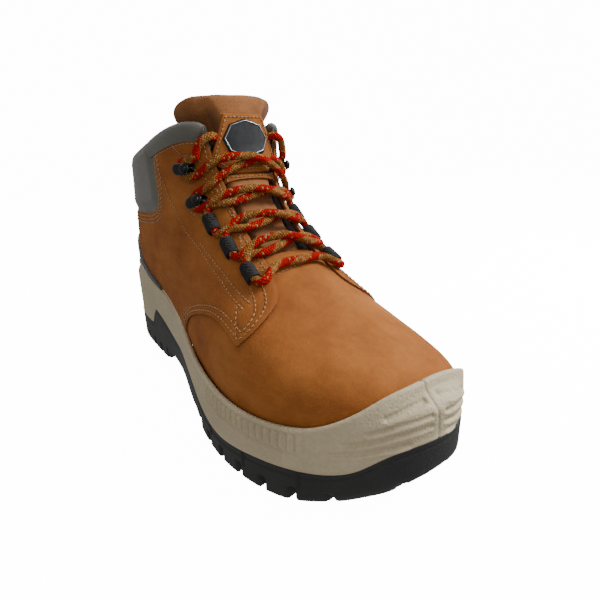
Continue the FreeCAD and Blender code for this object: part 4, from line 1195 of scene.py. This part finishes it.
for (which, row), place in frames.items():
    label = "%s_%s" % (row, "lateral" if which < 0 else "medial")
    lowered = (place[0] + place[3] * 0.2, *place[1:])
    if row in HOOKS:
        hook = joined("lace_hook_%s_body" % label, hook_parts(), lowered, black_metal, which)
        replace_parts(hook, "lace_hook_" + label)
        dome = joined("hook_dome_" + label, dome_parts(), lowered, black_metal, which)
        if label == "upper_lateral":
            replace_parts(dome, "hook_rivets")
    else:
        loop = joined("lace_loop_%s_webbing" % label, loop_parts(), lowered, webbing, which)
        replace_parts(loop, "lace_loop_" + label)

# ------------------------------------------------------------------ sole
SOLE_OUTLINE = [(8, -155), (-16, -149), (-36, -134), (-52, -110), (-60, -82), (-60.5, -55), (-55, -20),
                (-47, 15), (-43.5, 50), (-43, 85), (-41, 115), (-33, 138), (-18, 151), (0, 155), (18, 152),
                (33, 139), (40, 115), (41, 85), (40, 50), (41, 15), (46, -20), (51, -55), (52, -85),
                (49, -112), (42, -132), (28, -148)]


def closed_outline(points, count):
    """A smooth closed line through the points, evenly divided, with its outward directions."""
    extended = points[-3:] + points + points[:3]
    at = spline_through(extended)
    fine = at(np.linspace(3, 3 + len(points), 4001))
    run = np.concatenate([[0], np.cumsum(np.linalg.norm(np.diff(fine, axis=0), axis=1))])
    places = np.linspace(0, run[-1], count + 1)[:-1]
    line = np.stack([np.interp(places, run, fine[:, c]) for c in range(2)], -1)
    tangent = np.roll(line, -1, 0) - np.roll(line, 1, 0)
    tangent /= np.linalg.norm(tangent, axis=1, keepdims=True)
    return line, np.column_stack([-tangent[:, 1], tangent[:, 0]])


SOLE_COLUMNS = 1100
sole_line, sole_out = closed_outline(SOLE_OUTLINE, SOLE_COLUMNS)
sole_run = np.concatenate([[0], np.cumsum(np.linalg.norm(np.diff(sole_line, axis=0), axis=1))])
rand_net = form(station, side, angle, 3.4).reshape(-1, 3)
rand_tree = BVHTree.FromPolygons(rand_net.tolist(), net_faces.tolist())


def gap_to_rand(level):
    """How far inside the sole's outline the upper's rand stands, at one height for each column."""
    gaps = []
    for spot, out, z in zip(sole_line, sole_out, level):
        start = Vector((spot[0] + out[0] * 12, spot[1] + out[1] * 12, z))
        hit = rand_tree.ray_cast(start, Vector((-out[0], -out[1], 0)), 60)
        gaps.append(hit[3] - 12 if hit[0] is not None else np.nan)
    return gaps


def blurred(grid, passes, down=True):
    """Softened round the columns, and up the rows too if asked."""
    for _ in range(passes):
        grid = (np.roll(grid, 1, 1) + 2 * grid + np.roll(grid, -1, 1)) / 4
        if down:
            grid[1:-1] = (grid[:-2] + 2 * grid[1:-1] + grid[2:]) / 4
    return grid


def near_lines(points, lines, width):
    """1 on any of the lines, falling to 0 beside it."""
    best = np.full(len(points), 1e9)
    for line in lines:
        line = np.asarray(line, float)
        for a, b in zip(line, line[1:]):
            share = np.clip((points - a) @ (b - a) / ((b - a) @ (b - a)), 0, 1)
            best = np.minimum(best, np.linalg.norm(points - a - share[:, None] * (b - a), axis=1))
    return np.exp(-(best / width)**2)


def wall_points(gap, level):
    return np.stack([sole_line[:, 0] - sole_out[:, 0] * gap, sole_line[:, 1] - sole_out[:, 1] * gap,
                     np.broadcast_to(level, gap.shape)], -1)


TOE_STROKES = [[(-20, 48.5), (-11, 51), (-2, 52.5)], [(-27, 42.5), (-15, 45.8), (-2, 47.5)],
               [(-34, 36.5), (-18, 40.5), (-2, 42.5)], [(-38, 31), (-24, 34.2), (-12, 36.0)]]
MEDIAL_STROKES = [[(6, 52.8), (16, 51.5), (25, 48.5)], [(6, 47.6), (18, 46), (30, 42)],
                  [(6, 42.6), (20, 40), (34, 35)], [(8, 37.5), (20, 35), (31, 31)]]
TOE_SEAM = [[(2, 62), (1.2, 50), (2.4, 38), (2.0, 30)]]
SIDE_WAVE = [[(-48, 27), (-33, 32), (-10, 39), (15, 44), (40, 48), (60, 50)], [(15, 44), (24, 49), (32, 56)]]
HEEL_SLOT = [[(96, 44), (96, 58)], [(112, 45), (112, 59)]]


def make_midsole():
    rows = 66
    share = np.linspace(0, 1, rows)[:, None]
    low, top = line_at(PARTING, sole_line[:, 1]), line_at(MIDSOLE_TOP, sole_line[:, 1])
    level = low + (top - low) * share
    gap = np.array([gap_to_rand(row) for row in level])
    gap = np.where(np.isnan(gap) | (gap > 34), np.nan, gap)
    for row in range(rows):
        known = ~np.isnan(gap[row])
        gap[row] = np.interp(sole_run, sole_run[known], gap[row][known]) if known.any() else 0
    ledge = np.minimum(line_at(LEDGE, sole_line[:, 1]), top - 6.5)
    gap = blurred(np.clip(gap, 0, 34), 6) * smooth_step(-3.0, 5.5, level - ledge)
    points = wall_points(gap, level)
    last = gap[-1]
    lip = [(0.5, 1.0), (1.6, 1.35), (2.8, 0.9), (3.8, -0.6), (4.2, -3.0)]
    over = [wall_points(last + inward, top + up)[None] for inward, up in lip]
    under = [wall_points(np.full(SOLE_COLUMNS, 2.5), low - 0.6)[None]]
    grid = np.concatenate(under + [points] + over)
    count = grid.shape[0]
    flat_grid = grid.reshape(-1, 3)
    faces = net_triangles(count, SOLE_COLUMNS, True)
    normals = normals_of(flat_grid, faces)
    outward = np.tile(np.column_stack([sole_out, np.zeros(SOLE_COLUMNS)]), (count, 1))
    if (normals * outward).sum() < 0:
        faces, normals = faces[:, ::-1], -normals
    x, y, z = flat_grid.T
    above_ledge = z - line_at(LEDGE, y)
    below_top = line_at(MIDSOLE_TOP, y) - z
    run = np.tile(sole_run, count)
    at_toe = smooth_step(-112, -122, y)
    front, beside = flat_grid[:, [0, 2]], flat_grid[:, 1:]
    at_front = smooth_step(-118, -124, y)
    strokes = TOE_STROKES + MEDIAL_STROKES
    lift = -1.0 * np.clip(1.5 * near_lines(front, strokes, 0.85), 0, 1) * at_front
    lift += 0.35 * near_lines(front + (0, 1.9), strokes, 0.9) * at_front
    lift += -0.7 * near_lines(front, TOE_SEAM, 0.45) * at_front
    in_ribs = smooth_step(-50, -58, y) * smooth_step(-124, -116, y) * smooth_step(-5.0, -3.5, above_ledge)
    in_ribs *= smooth_step(0.6, 1.6, below_top)
    lift += 0.75 * in_ribs * np.clip(1.6 * np.sin(run * 2 * math.pi / 4.2), -1, 1)
    lift += -0.7 * np.exp(-((below_top - 1.4) / 0.6)**2) * (1 - at_toe)
    lift += -1.0 * np.exp(-((above_ledge + 6.2) / 0.8)**2) * smooth_step(-40, -60, y) * (1 - at_toe)
    wave = near_lines(beside, SIDE_WAVE, 1.0) * smooth_step(-50, -40, y) * smooth_step(5, 9, below_top)
    lift += -0.9 * wave
    lift += -0.9 * near_lines(beside, HEEL_SLOT, 1.3)
    lift += 0.5 * np.exp(-((z - line_at(PARTING, y) - 1.0) / 0.9)**2)
    lift *= smooth_step(0.0, 0.8, z - line_at(PARTING, y) + 0.3)
    shaped = flat_grid + normals * lift[:, None]
    centre = shaped[faces].mean(1)
    pebbled = (centre[:, 1] < -113) & (centre[:, 2] > line_at(PARTING, centre[:, 1]) + 2)
    piece = make_object("midsole_wall", shaped, faces, [midsole_pu, bumper_pu], pebbled.astype(int))
    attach(piece, "boot")
    return piece


def tread_grooves(points):
    """1 in the grooves between the lugs, 0 on the lugs."""
    x, y = points[:, 0], points[:, 1]
    centre = -2 + swing(y)
    beside = np.abs(x - centre)
    slant = y + 0.16 * beside
    period = 15.5
    phase = np.abs((slant / period) % 1 - 0.5) * period
    cross = smooth_step(period / 2 - 2.4, period / 2 - 1.2, phase) * smooth_step(9, 12, beside)
    middle = smooth_step(2.6, 1.5, np.abs(beside - 10.5 - 1.6 * np.sin(y * 2 * math.pi / period)))
    middle *= smooth_step(-128, -120, y)
    forepart = smooth_step(-142, -136, y) * smooth_step(-34, -40, y)
    heel = smooth_step(54, 60, y) * smooth_step(148, 142, y)
    standing = forepart + heel
    ribs = smooth_step(-0.2, 0.5, np.sin(y * 2 * math.pi / 6)) * 0.35
    ribs *= (1 - standing) * smooth_step(26, 20, beside)
    return np.clip(np.maximum(cross, middle) * standing + ribs, 0, 1)


def make_outsole():
    line = sole_line + sole_out * 0.35
    ground = np.interp(sole_line[:, 1], GROUND_LINE[:, 0], GROUND_LINE[:, 1])
    ground = blurred(ground[None], 40, False)[0]
    low = np.maximum(ground, 0.0)
    top = line_at(PARTING, sole_line[:, 1]) + 0.2
    radius = 2.5 + 8.5 * smooth_step(-110, -146, sole_line[:, 1]) + 3 * smooth_step(135, 152, sole_line[:, 1])
    radius = np.minimum(radius, (top - low) * 0.6)
    spine_y = np.clip(sole_line[:, 1], -105, 110)
    spine = np.column_stack([-2 + swing(spine_y), spine_y])
    rings = []
    for share in np.linspace(0.03, 0.9, 42):
        inner = spine + (line - sole_out * radius[:, None] - spine) * share / 0.9
        level = np.interp(inner[:, 1], GROUND_LINE[:, 0], GROUND_LINE[:, 1])
        rings.append(np.column_stack([inner, level]))
    for turn in np.linspace(0, math.pi / 2, 9)[1:]:
        gap = radius * (1 - math.sin(turn))
        rings.append(np.column_stack([line - sole_out * gap[:, None], low + radius * (1 - math.cos(turn))]))
    for share in np.linspace(0, 1, 26)[1:]:
        rings.append(np.column_stack([line, low + radius + (top - low - radius) * share]))
    rings.append(np.column_stack([line - sole_out * 2.2, top + 0.8]))
    grid = np.array(rings)
    flat_grid = grid.reshape(-1, 3)
    run = np.tile(sole_run, len(rings))
    faces = net_triangles(len(rings), SOLE_COLUMNS, True)
    normals = normals_of(flat_grid, faces)
    outward = np.tile(np.column_stack([sole_out, np.zeros(SOLE_COLUMNS)]), (len(rings), 1))
    if (normals * outward)[-20 * SOLE_COLUMNS:].sum() < 0:
        faces, normals = faces[:, ::-1], -normals
    groove = tread_grooves(flat_grid)
    height = flat_grid[:, 2] - np.tile(low, len(rings))
    reach = smooth_step(9.5, 7.0, height)
    shaped = flat_grid - normals * (3.0 * groove * reach)[:, None]
    y, z = shaped[:, 1], shaped[:, 2]
    wall = smooth_step(8, 10, height)
    panel = np.abs(((run - 6) / 31.0) % 1 - 0.5) * 31
    line_cut = smooth_step(14.2, 14.8, panel) * smooth_step(-128, -118, y) * smooth_step(-30, -40, y)
    shaped -= normals * (0.8 * line_cut * wall)[:, None]
    shaped -= normals * (0.5 * np.exp(-((np.tile(top, len(rings)) - z - 3.0) / 0.6)**2) * wall)[:, None]
    shaped[:, 2] = np.maximum(shaped[:, 2], 0.0)
    piece = make_object("outsole_tread", shaped, faces, [outsole_rubber])
    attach(piece, "boot")
    return piece


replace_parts(make_midsole(), "midsole")
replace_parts(make_outsole(), "outsole")

# ------------------------------------------------------------------ CAD pieces with a better finish
FINISHES = {
    "shank": steel, "insole_board": board, "footbed": foam,
    "toe_cap": steel, "toe_cap_strip": tape_cloth, "heel_counter": board, "heel_overlay": black_plastic,
    "backstay": black_plastic, "vamp_lining": lining_cloth, "quarter_lining": lining_cloth,
    "facing_tape_lateral": tape_cloth, "facing_tape_medial": tape_cloth, "hook_washers": steel}
for node, material in FINISHES.items():
    slots = bpy.data.objects[node].material_slots
    for slot in slots:
        slot.material = material
    if not len(slots):
        bpy.data.objects[node].data.materials.append(material)


# ------------------------------------------------------------------ floor and light
def studio():
    """A pale floor and a pale bowl round it. Neither throws its own glow on the boot."""
    shader = Shader("floor_white")
    tone = shader.ramp(shader.noise(3, 2), [(0.3, grey(0.88)), (0.7, grey(0.90))])
    shader.feed(shader.main, {"Base Color": tone, "Roughness": 0.9, "Specular IOR Level": 0.0,
                              "Emission Color": (1, 1, 1, 1), "Emission Strength": FLOOR_GLOW})
    turns = np.linspace(0, 2 * math.pi, 96, endpoint=False)
    profile = [(0.5, 0), (900, 0), (2600, 0)] + [(2600 + 500 * math.sin(t), 500 - 500 * math.cos(t))
                                                 for t in np.linspace(0.1, math.pi / 2, 14)] + [(3100, 5000)]
    rings = [np.column_stack([r * np.cos(turns), r * np.sin(turns), np.full(96, z)]) for r, z in profile]
    faces = net_triangles(len(rings), 96, True).tolist()
    stage = make_object("floor", np.concatenate(rings), faces, [shader.material])
    stage.visible_diffuse = stage.visible_glossy = False
    stage.visible_shadow = False


def area_light(name, at, size, watts, target=(0, 0, 0.07)):
    light = bpy.data.lights.new(name, "AREA")
    light.shape, light.size, light.size_y, light.energy = "RECTANGLE", size[0], size[1], watts
    lamp = bpy.data.objects.new(name, light)
    bpy.context.scene.collection.objects.link(lamp)
    lamp.location = at
    lamp.rotation_euler = (Vector(target) - Vector(at)).to_track_quat("-Z", "Y").to_euler()


studio()
area_light("key_light", (0.75, -0.45, 0.80), (0.5, 0.5), 20)
area_light("fill_light", (-0.5, -1.0, 0.6), (0.9, 0.9), 2.5)
area_light("back_light", (0.1, 0.8, 1.0), (0.9, 0.5), 6)
world = bpy.data.worlds.new("studio")
world.use_nodes = True
world.node_tree.nodes["Background"].inputs["Color"].default_value = (1, 1, 1, 1)
world.node_tree.nodes["Background"].inputs["Strength"].default_value = 0.42
bpy.context.scene.world = world
